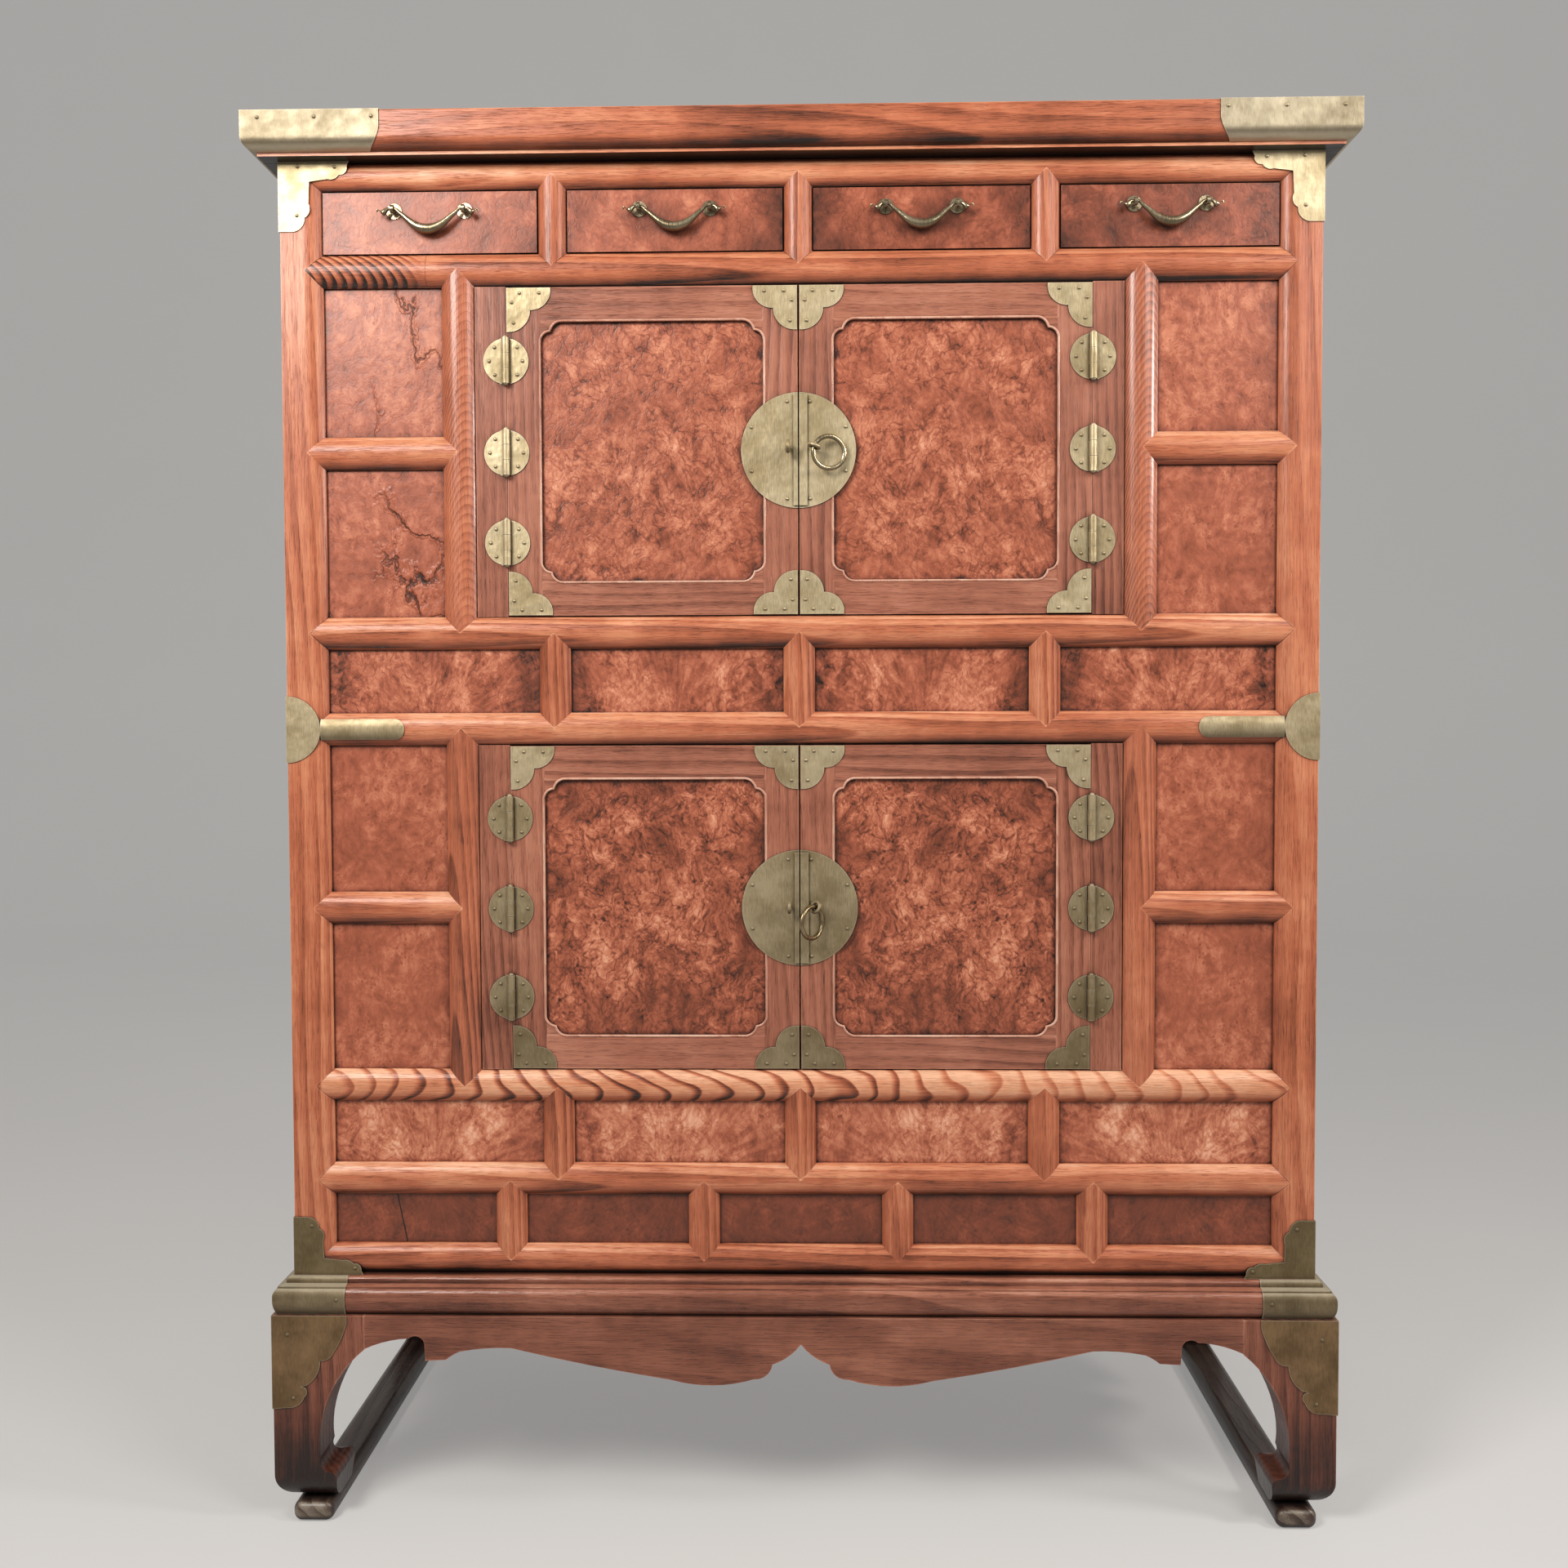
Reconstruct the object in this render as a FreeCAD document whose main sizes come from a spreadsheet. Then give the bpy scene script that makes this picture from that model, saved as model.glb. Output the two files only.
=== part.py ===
import FreeCAD, Part
import math
import os
import Sketcher

# Two tier clothes chest of lacquered wood, with drawers, paired doors, brass mounts and a carved stand.
# The front faces -Y, Z is up, and the origin lies on the floor under the middle of the chest.

doc = FreeCAD.newDocument("two_tier_chest")
sheet = doc.addObject("Spreadsheet::Sheet", "sizes")
Vector = FreeCAD.Vector


# Sizes that carry their expression


class Size:
    """A length, held as an expression on the sheet's cells and as its value now."""

    def __init__(self, text, value):
        self.text = text
        self.value = value

    def __add__(self, other):
        return combine(self, "+", other)

    def __radd__(self, other):
        return combine(other, "+", self)

    def __sub__(self, other):
        return combine(self, "-", other)

    def __rsub__(self, other):
        return combine(other, "-", self)

    def __mul__(self, other):
        return combine(self, "*", other)

    def __rmul__(self, other):
        return combine(other, "*", self)

    def __truediv__(self, other):
        return combine(self, "/", other)

    def __neg__(self):
        return combine(0, "-", self)


def as_size(amount):
    """Wraps a plain number, so that it can stand in a sum of sizes."""
    if isinstance(amount, Size):
        return amount
    return Size(repr(float(amount)), float(amount))


def combine(left, sign, right):
    """One step of arithmetic on two sizes."""
    left = as_size(left)
    right = as_size(right)
    results = {
        "+": lambda: left.value + right.value,
        "-": lambda: left.value - right.value,
        "*": lambda: left.value * right.value,
        "/": lambda: left.value / right.value,
    }
    return Size(f"({left.text} {sign} {right.text})", results[sign]())


def size(alias, value):
    """Writes one driving dimension, in millimetres, into the sheet."""
    size.count += 1
    sheet.set(f"A{size.count}", alias)
    sheet.set(f"B{size.count}", str(value))
    sheet.setAlias(f"B{size.count}", alias)
    return Size(f"sizes.{alias}", float(value))


size.count = 0

# The body, without its top board, base moulding and stand
body_width = size("body_width", 1080)
body_depth = size("body_depth", 470)
board_overhang = size("board_overhang", 29)
board_thickness = size("board_thickness", 39)
lip_thickness = size("lip_thickness", 3.5)
lip_inset = size("lip_inset", 12)
board_under_round = size("board_under_round", 13)
board_edge_round = size("board_edge_round", 2)

# The stand
runner_height = size("runner_height", 21.5)
runner_width = size("runner_width", 43)
runner_inset = size("runner_inset", 18)
runner_round = size("runner_round", 9)
stand_overhang = size("stand_overhang", 19)
leg_height = size("leg_height", 201.5)
leg_width = size("leg_width", 97)
apron_thickness = size("apron_thickness", 30)
apron_height = size("apron_height", 71)

# The base moulding
moulding_height = size("moulding_height", 37.5)
moulding_overhang = size("moulding_overhang", 18)
moulding_reach = size("moulding_reach", 60)

# The front frame, from the floor up
bottom_rail_height = size("bottom_rail_height", 32)
bottom_row_height = size("bottom_row_height", 53)
rail_height = size("rail_height", 34)
lower_row_height = size("lower_row_height", 66.5)
lower_door_height = size("lower_door_height", 345)
middle_row_height = size("middle_row_height", 67)
upper_door_height = size("upper_door_height", 344)
drawer_row_height = size("drawer_row_height", 65.5)
top_rail_height = size("top_rail_height", 29)

# The front frame, across
post_width = size("post_width", 42)
frame_depth = size("frame_depth", 42)
crown_rise = size("crown_rise", 9)
side_bay_width = size("side_bay_width", 124.5)
door_post_width = size("door_post_width", 35)
hinge_stile_width = size("hinge_stile_width", 32.5)
drawer_divider_width = size("drawer_divider_width", 30)
divider_width = size("divider_width", 33)
front_panel_setback = size("front_panel_setback", 12)
front_panel_thickness = size("front_panel_thickness", 8)

# The sides, the back and the inside
side_rail_thickness = size("side_rail_thickness", 24)
side_panel_setback = size("side_panel_setback", 6)
side_panel_thickness = size("side_panel_thickness", 10)
back_rail_thickness = size("back_rail_thickness", 20)
back_panel_setback = size("back_panel_setback", 5)
back_panel_thickness = size("back_panel_thickness", 8)
inner_board_thickness = size("inner_board_thickness", 12)
stop_height = size("stop_height", 8)
stop_gap = size("stop_gap", 0.4)
guide_height = size("guide_height", 20)

# The doors
door_setback = size("door_setback", 7)
door_thickness = size("door_thickness", 20)
door_meeting_gap = size("door_meeting_gap", 1.5)
door_end_gap = size("door_end_gap", 1)
door_hinge_gap = size("door_hinge_gap", 0.5)
door_frame_width = size("door_frame_width", 35.5)
door_panel_setback = size("door_panel_setback", 4)
door_panel_thickness = size("door_panel_thickness", 8)
door_rebate = size("door_rebate", 8)
lobe_width = size("lobe_width", 24)
lobe_height = size("lobe_height", 22)

# The drawers
drawer_gap = size("drawer_gap", 1)
drawer_running_gap = size("drawer_running_gap", 0.3)
drawer_front_thickness = size("drawer_front_thickness", 14)
drawer_wall = size("drawer_wall", 8)
drawer_floor = size("drawer_floor", 6)
drawer_rear_room = size("drawer_rear_room", 49)
drawer_side_height = size("drawer_side_height", 52)

# The drawer handles
handle_rise = size("handle_rise", 44.5)
handle_spacing = size("handle_spacing", 74)
handle_reach = size("handle_reach", 9)
handle_stem_radius = size("handle_stem_radius", 2.2)
handle_eye_radius = size("handle_eye_radius", 4.2)
handle_eye_width = size("handle_eye_width", 3.4)
handle_eye_play = size("handle_eye_play", 0.4)
bail_belly_radius = size("bail_belly_radius", 5.0)
bail_drop = size("bail_drop", 20.5)
rose_radius = size("rose_radius", 8)
rose_thickness = size("rose_thickness", 1)

# The brass plates and nails
plate_thickness = size("plate_thickness", 1.2)
nail_radius = size("nail_radius", 1.9)
hinge_radius = size("hinge_radius", 23.75)
knuckle_radius = size("knuckle_radius", 4)
knuckle_seat_gap = size("knuckle_seat_gap", 0.3)
knuckle_play = size("knuckle_play", 0.4)
pin_radius = size("pin_radius", 1.6)
pin_play = size("pin_play", 0.05)
pin_head_radius = size("pin_head_radius", 2.6)
bracket_leg = size("bracket_leg", 46)
bracket_inset = size("bracket_inset", 0.5)
upper_plate_radius = size("upper_plate_radius", 60)
lower_plate_radius = size("lower_plate_radius", 61)
left_strip_width = size("left_strip_width", 4.5)
right_strip_width = size("right_strip_width", 8.5)
strip_thickness = size("strip_thickness", 2.5)
left_eye_offset = size("left_eye_offset", 11)
right_eye_offset = size("right_eye_offset", 16.5)
eye_height = size("eye_height", 2)
eye_reach = size("eye_reach", 14)
eye_radius = size("eye_radius", 5.2)
eye_wire = size("eye_wire", 2)
ring_radius = size("ring_radius", 16.6)
ring_wire = size("ring_wire", 2.5)
top_bracket_arm = size("top_bracket_arm", 73)
top_bracket_drop = size("top_bracket_drop", 72)
bottom_bracket_drop = size("bottom_bracket_drop", 62)
band_disc_radius = size("band_disc_radius", 35)
band_strap_width = size("band_strap_width", 22)
band_strap_end = size("band_strap_end", 124)
leg_plate_width = size("leg_plate_width", 79)
leg_plate_drop = size("leg_plate_drop", 100)
board_cap_length = size("board_cap_length", 143)
moulding_cap_length = size("moulding_cap_length", 77)
moulding_nail_inset = size("moulding_nail_inset", 67)
moulding_nail_height = size("moulding_nail_height", 17)

# How far a cutting solid runs past what it cuts, and how near two corners count as one
overrun = size("overrun", 2)
closeness = size("closeness", 0.01)

doc.recompute()

# Places that follow from the sizes
half_width = body_width / 2
front = -body_depth / 2
rear = body_depth / 2
crown_back = front + crown_rise
frame_back = front + frame_depth
stand_top = runner_height + leg_height
body_base = stand_top + moulding_height
bottom_rail_top = body_base + bottom_rail_height
rail_five_base = bottom_rail_top + bottom_row_height
lower_row_base = rail_five_base + rail_height
rail_four_base = lower_row_base + lower_row_height
lower_bay_base = rail_four_base + rail_height
rail_three_base = lower_bay_base + lower_door_height
middle_row_base = rail_three_base + rail_height
rail_two_base = middle_row_base + middle_row_height
upper_bay_base = rail_two_base + rail_height
rail_one_base = upper_bay_base + upper_door_height
drawer_row_base = rail_one_base + rail_height
top_rail_base = drawer_row_base + drawer_row_height
body_top = top_rail_base + top_rail_height
board_base = body_top + lip_thickness
door_face = front + door_setback
door_back = door_face + door_thickness
drawer_length = rear - drawer_rear_room - door_face - drawer_front_thickness
hinge_inset = post_width + side_bay_width + door_post_width + hinge_stile_width
hinge_axis_y = door_face - knuckle_seat_gap - knuckle_radius
inner_span = body_width - 2 * post_width
post_flat = post_width - rail_height / 2
QUARTER_TURN = 90
EIGHTH_TURN = 45
ROOT_TWO = math.sqrt(2)


# Helpers for solids


def bind(item, **amounts):
    """Binds properties of an object to expressions on the sheet."""
    for name, amount in amounts.items():
        item.setExpression(name, as_size(amount).text)


def place(item, spot, turn=None):
    """Puts an object's own origin at a spot, after an optional turn about an axis."""
    if turn is not None:
        axis, angle = turn
        item.Placement = FreeCAD.Placement(Vector(0, 0, 0), FreeCAD.Rotation(axis, angle))
    for letter, amount in zip("xyz", spot):
        item.setExpression(f"Placement.Base.{letter}", as_size(amount).text)
    return item


def block(name, corner, lengths):
    """A square-edged board from its lowest corner and its three lengths."""
    item = doc.addObject("Part::Box", name)
    bind(item, Length=lengths[0], Width=lengths[1], Height=lengths[2])
    return place(item, corner)


ALONG = {
    "X": (Vector(0, 1, 0), QUARTER_TURN),
    "Y": (Vector(1, 0, 0), -QUARTER_TURN),
    "Z": (Vector(0, 0, 1), 0),
}


def rod(name, start, along, radius, length):
    """A round bar from the middle of its first end, along one axis."""
    item = doc.addObject("Part::Cylinder", name)
    bind(item, Radius=radius, Height=length)
    return place(item, start, ALONG[along])


def diamond(name, left_corner, diagonal, depth):
    """A square prism that stands on its corner, seen from the front."""
    item = doc.addObject("Part::Box", name)
    side = diagonal / ROOT_TWO
    bind(item, Length=side, Width=depth, Height=side)
    return place(item, left_corner, (Vector(0, 1, 0), EIGHTH_TURN))


def cut(name, base, tool):
    item = doc.addObject("Part::Cut", name)
    item.Base = base
    item.Tool = tool
    return item


def common(name, parts):
    item = doc.addObject("Part::MultiCommon", name)
    item.Shapes = parts
    return item


def fuse(name, parts):
    item = doc.addObject("Part::MultiFuse", name)
    item.Shapes = parts
    return item


def several(name, parts):
    """Separate solids held together as one object."""
    item = doc.addObject("Part::Compound", name)
    item.Links = parts
    return item


nodes = {}


def node(label, parts):
    """Names the sub-part that a group of separate solids makes."""
    item = several(label, parts)
    item.Label = label
    nodes[label] = item
    return item


def low_side(side, inset, width):
    """Lowest x of a piece that lies at an inset from the left (-1) or right (+1) edge of the body."""
    if side < 0:
        return inset - half_width
    return half_width - inset - width


def edge_x(side, inset):
    """The x of a line at an inset from the left or right edge of the body."""
    if side < 0:
        return inset - half_width
    return half_width - inset


def prism(name, start, steps, thickness, spot, flip=1, turned=False):
    """A plate whose outline is drawn across and up, in lines and arcs, and thickened away from the viewer."""

    def corner(across, up):
        return Vector(flip * across, 0, up)

    edges = []
    last = corner(*start)
    for step in steps:
        end = corner(*step[-1])
        if len(step) == 1:
            edges.append(Part.LineSegment(last, end).toShape())
        else:
            edges.append(Part.Arc(last, corner(*step[0]), end).toShape())
        last = end
    if not last.isEqual(corner(*start), closeness.value):
        edges.append(Part.LineSegment(last, corner(*start)).toShape())
    solid = Part.Face(Part.Wire(edges)).extrude(Vector(0, as_size(thickness).value, 0))
    if solid.Volume < 0:
        solid.reverse()
    item = doc.addObject("Part::Feature", name)
    item.Shape = solid
    turn = (Vector(0, 0, 1), QUARTER_TURN) if turned else None
    return place(item, spot, turn)


def shared(steps, across, up):
    """Turns outline steps that are written as shares into lengths."""
    return [tuple((u * across.value, v * up.value) for u, v in step) for step in steps]


# Framing bars with a half-round front


def crown_radius(width):
    """Radius of a round front that rises by crown_rise over a bar's width."""
    return (width * width / 4 + crown_rise * crown_rise) / (2 * crown_rise)


def crowned_bar(name, along, start, length, width, middle):
    """A bar with a half-round front, whose mitred points reach half its width past both ends.

    start is where its square length begins, and middle its centre line on the other axis.
    """
    radius = crown_radius(width)
    depth = frame_depth - crown_rise
    reach = width / 2
    if along == "X":
        core = block(f"{name}_core", (start, crown_back, middle - reach), (length, depth, width))
        round_start = (start - reach - overrun, front + radius, middle)
        corner = (start - reach, front - overrun, middle)
    else:
        core = block(f"{name}_core", (middle - reach, crown_back, start), (width, depth, length))
        round_start = (middle, front + radius, start - reach - overrun)
        corner = (middle - (length + width) / 2, front - overrun, start + length / 2)
    whole = rod(f"{name}_round", round_start, along, radius, length + width + 2 * overrun)
    points = diamond(f"{name}_points", corner, length + width, crown_rise + overrun)
    crown = common(f"{name}_crown", [whole, points])
    return fuse(f"{name}_bar", [core, crown])


def notch(name, x, z, width):
    """The space that a neighbour's mitred point takes in a bar's round front."""
    corner = (x - width / 2, front - overrun, z)
    return diamond(name, corner, width, crown_rise + overrun)


def notched(name, bar, notches):
    return cut(name, bar, several(f"{name}_notches", notches))


# The heights at which rails lie, as base and height
RAIL_LEVELS = {
    "bottom": (body_base, bottom_rail_height),
    "five": (rail_five_base, rail_height),
    "four": (rail_four_base, rail_height),
    "three": (rail_three_base, rail_height),
    "two": (rail_two_base, rail_height),
    "one": (rail_one_base, rail_height),
    "top": (top_rail_base, top_rail_height),
}
BAYS = {
    "lower": (lower_bay_base, lower_door_height),
    "upper": (upper_bay_base, upper_door_height),
}
# Rows across the front: base, height, bays, divider width
ROWS = {
    "bottom_row": (bottom_rail_top, bottom_row_height, 5, divider_width),
    "lower_row": (lower_row_base, lower_row_height, 4, divider_width),
    "middle_row": (middle_row_base, middle_row_height, 4, divider_width),
    "drawer_row": (drawer_row_base, drawer_row_height, 4, drawer_divider_width),
}
# The rails that each row and bay stands between
RAIL_UNDER = {
    "bottom_row": "bottom",
    "lower_row": "five",
    "lower": "four",
    "middle_row": "three",
    "upper": "two",
    "drawer_row": "one",
}
RAIL_OVER = {
    "bottom_row": "five",
    "lower_row": "four",
    "lower": "three",
    "middle_row": "two",
    "upper": "one",
    "drawer_row": "top",
}
SIDES = {"left": -1, "right": 1}


def row_bay_width(row):
    base, height, bays, divider = ROWS[row]
    return (inner_span - (bays - 1) * divider) / bays


def row_bay_start(row, index):
    return post_width - half_width + index * (row_bay_width(row) + ROWS[row][3])


# Rails, dividers and door posts of the front

dividers = []
rail_notches = {name: [] for name in RAIL_LEVELS}
for row, (base, height, bays, divider) in ROWS.items():
    for index in range(1, bays):
        middle = row_bay_start(row, index) - divider / 2
        name = f"{row}_divider_{index}"
        dividers.append(crowned_bar(name, "Z", base, height, divider, middle))
        rail_notches[RAIL_UNDER[row]].append(notch(f"{name}_low_notch", middle, base, divider))
        rail_notches[RAIL_OVER[row]].append(notch(f"{name}_high_notch", middle, base + height, divider))
node("row_dividers", dividers)

door_posts = []
panel_rails = []
post_notches = {side: [] for side in SIDES}
for bay, (base, height) in BAYS.items():
    for side, sign in SIDES.items():
        name = f"{bay}_{side}"
        middle = edge_x(sign, post_width + side_bay_width + door_post_width / 2)
        post = crowned_bar(f"{name}_door_post", "Z", base, height, door_post_width, middle)
        rail_notches[RAIL_UNDER[bay]].append(notch(f"{name}_low_notch", middle, base, door_post_width))
        high = notch(f"{name}_high_notch", middle, base + height, door_post_width)
        rail_notches[RAIL_OVER[bay]].append(high)
        inner = edge_x(sign, post_width + side_bay_width)
        outer = edge_x(sign, post_width)
        level = base + height / 2
        start = low_side(sign, post_width, side_bay_width)
        panel_rails.append(crowned_bar(f"{name}_panel_rail", "X", start, side_bay_width, rail_height, level))
        tip = notch(f"{name}_tip", inner, level, rail_height)
        door_posts.append(notched(f"{name}_post_cut", post, [tip]))
        post_notches[side].append(notch(f"{name}_outer_tip", outer, level, rail_height))
node("door_posts", door_posts)
node("panel_rails", panel_rails)

rails = []
for name, (base, height) in RAIL_LEVELS.items():
    level = base + height / 2
    bar = crowned_bar(f"{name}_rail", "X", post_width - half_width, inner_span, height, level)
    rails.append(notched(f"{name}_rail_cut", bar, rail_notches[name]))
    for side, sign in SIDES.items():
        post_notches[side].append(notch(f"{name}_{side}_rail_tip", edge_x(sign, post_width), level, height))
node("front_rails", rails)

# Posts


def front_post(side, sign):
    """A corner post with a flat outer band and a quarter-round inner edge."""
    height = body_top - body_base
    flat = block(f"{side}_post_flat", (low_side(sign, 0, post_flat), front, body_base),
                 (post_flat, frame_depth, height))
    core = block(f"{side}_post_core",
                 (low_side(sign, post_flat, rail_height / 2), crown_back, body_base),
                 (rail_height / 2, frame_depth - crown_rise, height))
    radius = crown_radius(rail_height)
    whole = rod(f"{side}_post_round", (edge_x(sign, post_flat), front + radius, body_base), "Z",
                radius, height)
    keep = block(f"{side}_post_keep",
                 (low_side(sign, post_flat, rail_height / 2), front - overrun, body_base),
                 (rail_height / 2, crown_rise + overrun, height))
    quarter = common(f"{side}_post_quarter", [whole, keep])
    return notched(f"{side}_front_post", fuse(f"{side}_post", [flat, core, quarter]), post_notches[side])


node("front_posts", [front_post(side, sign) for side, sign in SIDES.items()])
node("rear_posts", [
    block(f"{side}_rear_post", (low_side(sign, 0, post_width), rear - frame_depth, body_base),
          (post_width, frame_depth, body_top - body_base))
    for side, sign in SIDES.items()
])

# Flat stiles that carry the hinges, and the fixed panels of the front

stiles = []
side_bay_panels = []
for bay, (base, height) in BAYS.items():
    for side, sign in SIDES.items():
        inset = post_width + side_bay_width + door_post_width
        corner = (low_side(sign, inset, hinge_stile_width), door_face, base)
        lengths = (hinge_stile_width, frame_back - door_face, height)
        stiles.append(block(f"{bay}_{side}_stile", corner, lengths))
        panel_height = (height - rail_height) / 2
        for level, panel_base in (("low", base), ("high", base + panel_height + rail_height)):
            corner = (low_side(sign, post_width, side_bay_width), front + front_panel_setback, panel_base)
            lengths = (side_bay_width, front_panel_thickness, panel_height)
            side_bay_panels.append(block(f"{bay}_{side}_{level}_panel", corner, lengths))
node("hinge_stiles", stiles)
node("front_side_panels", side_bay_panels)

row_panels = []
for row, (base, height, bays, divider) in ROWS.items():
    if row == "drawer_row":
        continue
    for index in range(bays):
        corner = (row_bay_start(row, index), front + front_panel_setback, base)
        lengths = (row_bay_width(row), front_panel_thickness, height)
        row_panels.append(block(f"{row}_panel_{index + 1}", corner, lengths))
node("row_panels", row_panels)

# Sides and back: rails at the main levels, with panels between them

WALL_LEVELS = ["bottom", "four", "three", "two", "top"]
wall_depth = body_depth - 2 * frame_depth
side_rails = []
side_panels = []
back_rails = []
back_panels = []
for index, level in enumerate(WALL_LEVELS):
    base, height = RAIL_LEVELS[level]
    for side, sign in SIDES.items():
        side_rails.append(block(f"{side}_side_rail_{level}",
                                (low_side(sign, 0, side_rail_thickness), frame_back, base),
                                (side_rail_thickness, wall_depth, height)))
    back_rails.append(block(f"back_rail_{level}", (post_width - half_width, rear - back_rail_thickness, base),
                            (inner_span, back_rail_thickness, height)))
    if index == 0:
        continue
    low_base, low_height = RAIL_LEVELS[WALL_LEVELS[index - 1]]
    start = low_base + low_height
    for side, sign in SIDES.items():
        corner = (low_side(sign, side_panel_setback, side_panel_thickness), frame_back, start)
        lengths = (side_panel_thickness, wall_depth, base - start)
        side_panels.append(block(f"{side}_side_panel_{level}", corner, lengths))
    corner = (post_width - half_width, rear - back_panel_setback - back_panel_thickness, start)
    lengths = (inner_span, back_panel_thickness, base - start)
    back_panels.append(block(f"back_panel_{level}", corner, lengths))
node("side_rails", side_rails)
node("side_panels", side_panels)
node("back_rails", back_rails)
node("back_panels", back_panels)

# Boards inside, which carry the drawers and close each compartment

board_depth = rear - back_rail_thickness - frame_back
post_room = post_width - side_rail_thickness


def inner_board(name, base):
    """A shelf board between the side rails, cut out round the rear posts."""
    board = block(f"{name}_board", (side_rail_thickness - half_width, frame_back, base),
                  (body_width - 2 * side_rail_thickness, board_depth, inner_board_thickness))
    room = []
    for side, sign in SIDES.items():
        corner = (low_side(sign, side_rail_thickness - overrun, post_room + overrun), rear - frame_depth,
                  base - overrun)
        lengths = (post_room + overrun, frame_depth + overrun, inner_board_thickness + 2 * overrun)
        room.append(block(f"{name}_{side}_post_room", corner, lengths))
    return cut(name, board, several(f"{name}_room", room))


node("inner_boards", [
    inner_board("base_board", body_base),
    inner_board("lower_floor", lower_bay_base - inner_board_thickness),
    inner_board("lower_ceiling", rail_three_base - inner_board_thickness),
    inner_board("upper_floor", upper_bay_base - inner_board_thickness),
    inner_board("drawer_shelf", drawer_row_base - inner_board_thickness),
])

# Door stops: strips behind the doors, along the top and the foot of each bay

stop_depth = frame_back - door_back - stop_gap
stop_length = body_width - 2 * hinge_inset
stops = []
for bay, (base, height) in BAYS.items():
    for name, level in (("foot", base), ("head", base + height - stop_height)):
        stops.append(block(f"{bay}_{name}_stop", (hinge_inset - half_width, door_back + stop_gap, level),
                           (stop_length, stop_depth, stop_height)))
node("door_stops", stops)

# Guides between and beside the drawers

guides = []
guide_length = rear - back_rail_thickness - frame_back
for index in range(1, ROWS["drawer_row"][2]):
    corner = (row_bay_start("drawer_row", index) - drawer_divider_width, frame_back, drawer_row_base)
    guides.append(block(f"drawer_guide_{index}", corner, (drawer_divider_width, guide_length, guide_height)))
for side, sign in SIDES.items():
    corner = (low_side(sign, side_rail_thickness, post_room), frame_back, drawer_row_base)
    guides.append(block(f"drawer_guide_{side}", corner, (post_room, wall_depth, guide_height)))
node("drawer_guides", guides)

# Top board and floor runners, drawn as rectangles and rounded along their edges


def origin_plane(body, role):
    """One of a body's own base planes."""
    return next(plane for plane in body.Origin.OriginFeatures if plane.Role == role)


def rounded_board(name, across, along, thickness, spot, rounds):
    """A board centred on a spot, with the edges that each rule picks rounded to its radius."""
    body = doc.addObject("PartDesign::Body", name)
    sketch = body.newObject("Sketcher::SketchObject", f"{name}_outline")
    sketch.AttachmentSupport = [(origin_plane(body, "XY_Plane"), "")]
    sketch.MapMode = "FlatFace"
    half_x = across.value / 2
    half_y = along.value / 2
    corners = [Vector(-half_x, -half_y, 0), Vector(half_x, -half_y, 0)]
    corners += [-corner for corner in corners]
    for index, corner in enumerate(corners):
        follower = (index + 1) % len(corners)
        sketch.addGeometry(Part.LineSegment(corner, corners[follower]))
    for index in range(len(corners)):
        follower = (index + 1) % len(corners)
        sketch.addConstraint(Sketcher.Constraint("Coincident", index, 2, follower, 1))
        sketch.addConstraint(Sketcher.Constraint(("Horizontal", "Vertical")[index % 2], index))
    sketch.addConstraint(Sketcher.Constraint("Symmetric", 0, 1, 1, 2, -1, 1))
    width = sketch.addConstraint(Sketcher.Constraint("DistanceX", 0, 1, 0, 2, across.value))
    sketch.setExpression(f"Constraints[{width}]", across.text)
    length = sketch.addConstraint(Sketcher.Constraint("DistanceY", 1, 1, 1, 2, along.value))
    sketch.setExpression(f"Constraints[{length}]", along.text)
    feature = body.newObject("PartDesign::Pad", f"{name}_pad")
    feature.Profile = sketch
    bind(feature, Length=thickness)
    doc.recompute()
    for picks, radius in rounds:
        edges = enumerate(feature.Shape.Edges, 1)
        chosen = [f"Edge{number}" for number, edge in edges if picks(edge.BoundBox)]
        rounding = body.newObject("PartDesign::Fillet", f"{name}_round")
        rounding.Base = (feature, chosen)
        bind(rounding, Radius=radius)
        doc.recompute()
        feature = rounding
    return place(body, spot)


def on_underside(box):
    return box.ZMax < overrun.value / 2


def on_top_side(box):
    return box.ZMin > (board_thickness - overrun / 2).value


top_board_width = body_width + 2 * board_overhang
top_board_depth = body_depth + 2 * board_overhang
top_board = rounded_board("top_board_pad", top_board_width, top_board_depth, board_thickness,
                          (0, 0, board_base),
                          [(on_underside, board_under_round), (on_top_side, board_edge_round)])
lip_corner = (lip_inset - board_overhang - half_width, front - board_overhang + lip_inset, body_top)
top_lip = block("top_board_lip", lip_corner,
                (top_board_width - 2 * lip_inset, top_board_depth - 2 * lip_inset, lip_thickness))
node("top_board", [top_board, top_lip])

stand_width = body_width + 2 * stand_overhang
stand_depth = body_depth + 2 * stand_overhang
runner_length = stand_depth
runners = []
for side, sign in SIDES.items():
    middle = edge_x(sign, runner_inset - stand_overhang + runner_width / 2)
    runners.append(rounded_board(f"{side}_runner", runner_width, runner_length, runner_height,
                                 (middle, 0, 0),
                                 [(lambda box: True, runner_round)]))
node("floor_runners", runners)

# Carved stand: each leg is where a front outline and a side outline cross

# The leg's outline from its outer top corner, as shares of its width and height
LEG_SHARES = [
    ((0, 0.145),),
    ((0.087, 0.0445), (0.28, 0)),
    ((0.65, 0),),
    ((0.68, 0.11),),
    ((0.655, 0.155), (0.60, 0.165)),
    ((0.53, 0.18), (0.507, 0.245)),
    ((0.60, 0.56), (1.0, 0.819)),
    ((1.0, 1.0),),
]
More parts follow.
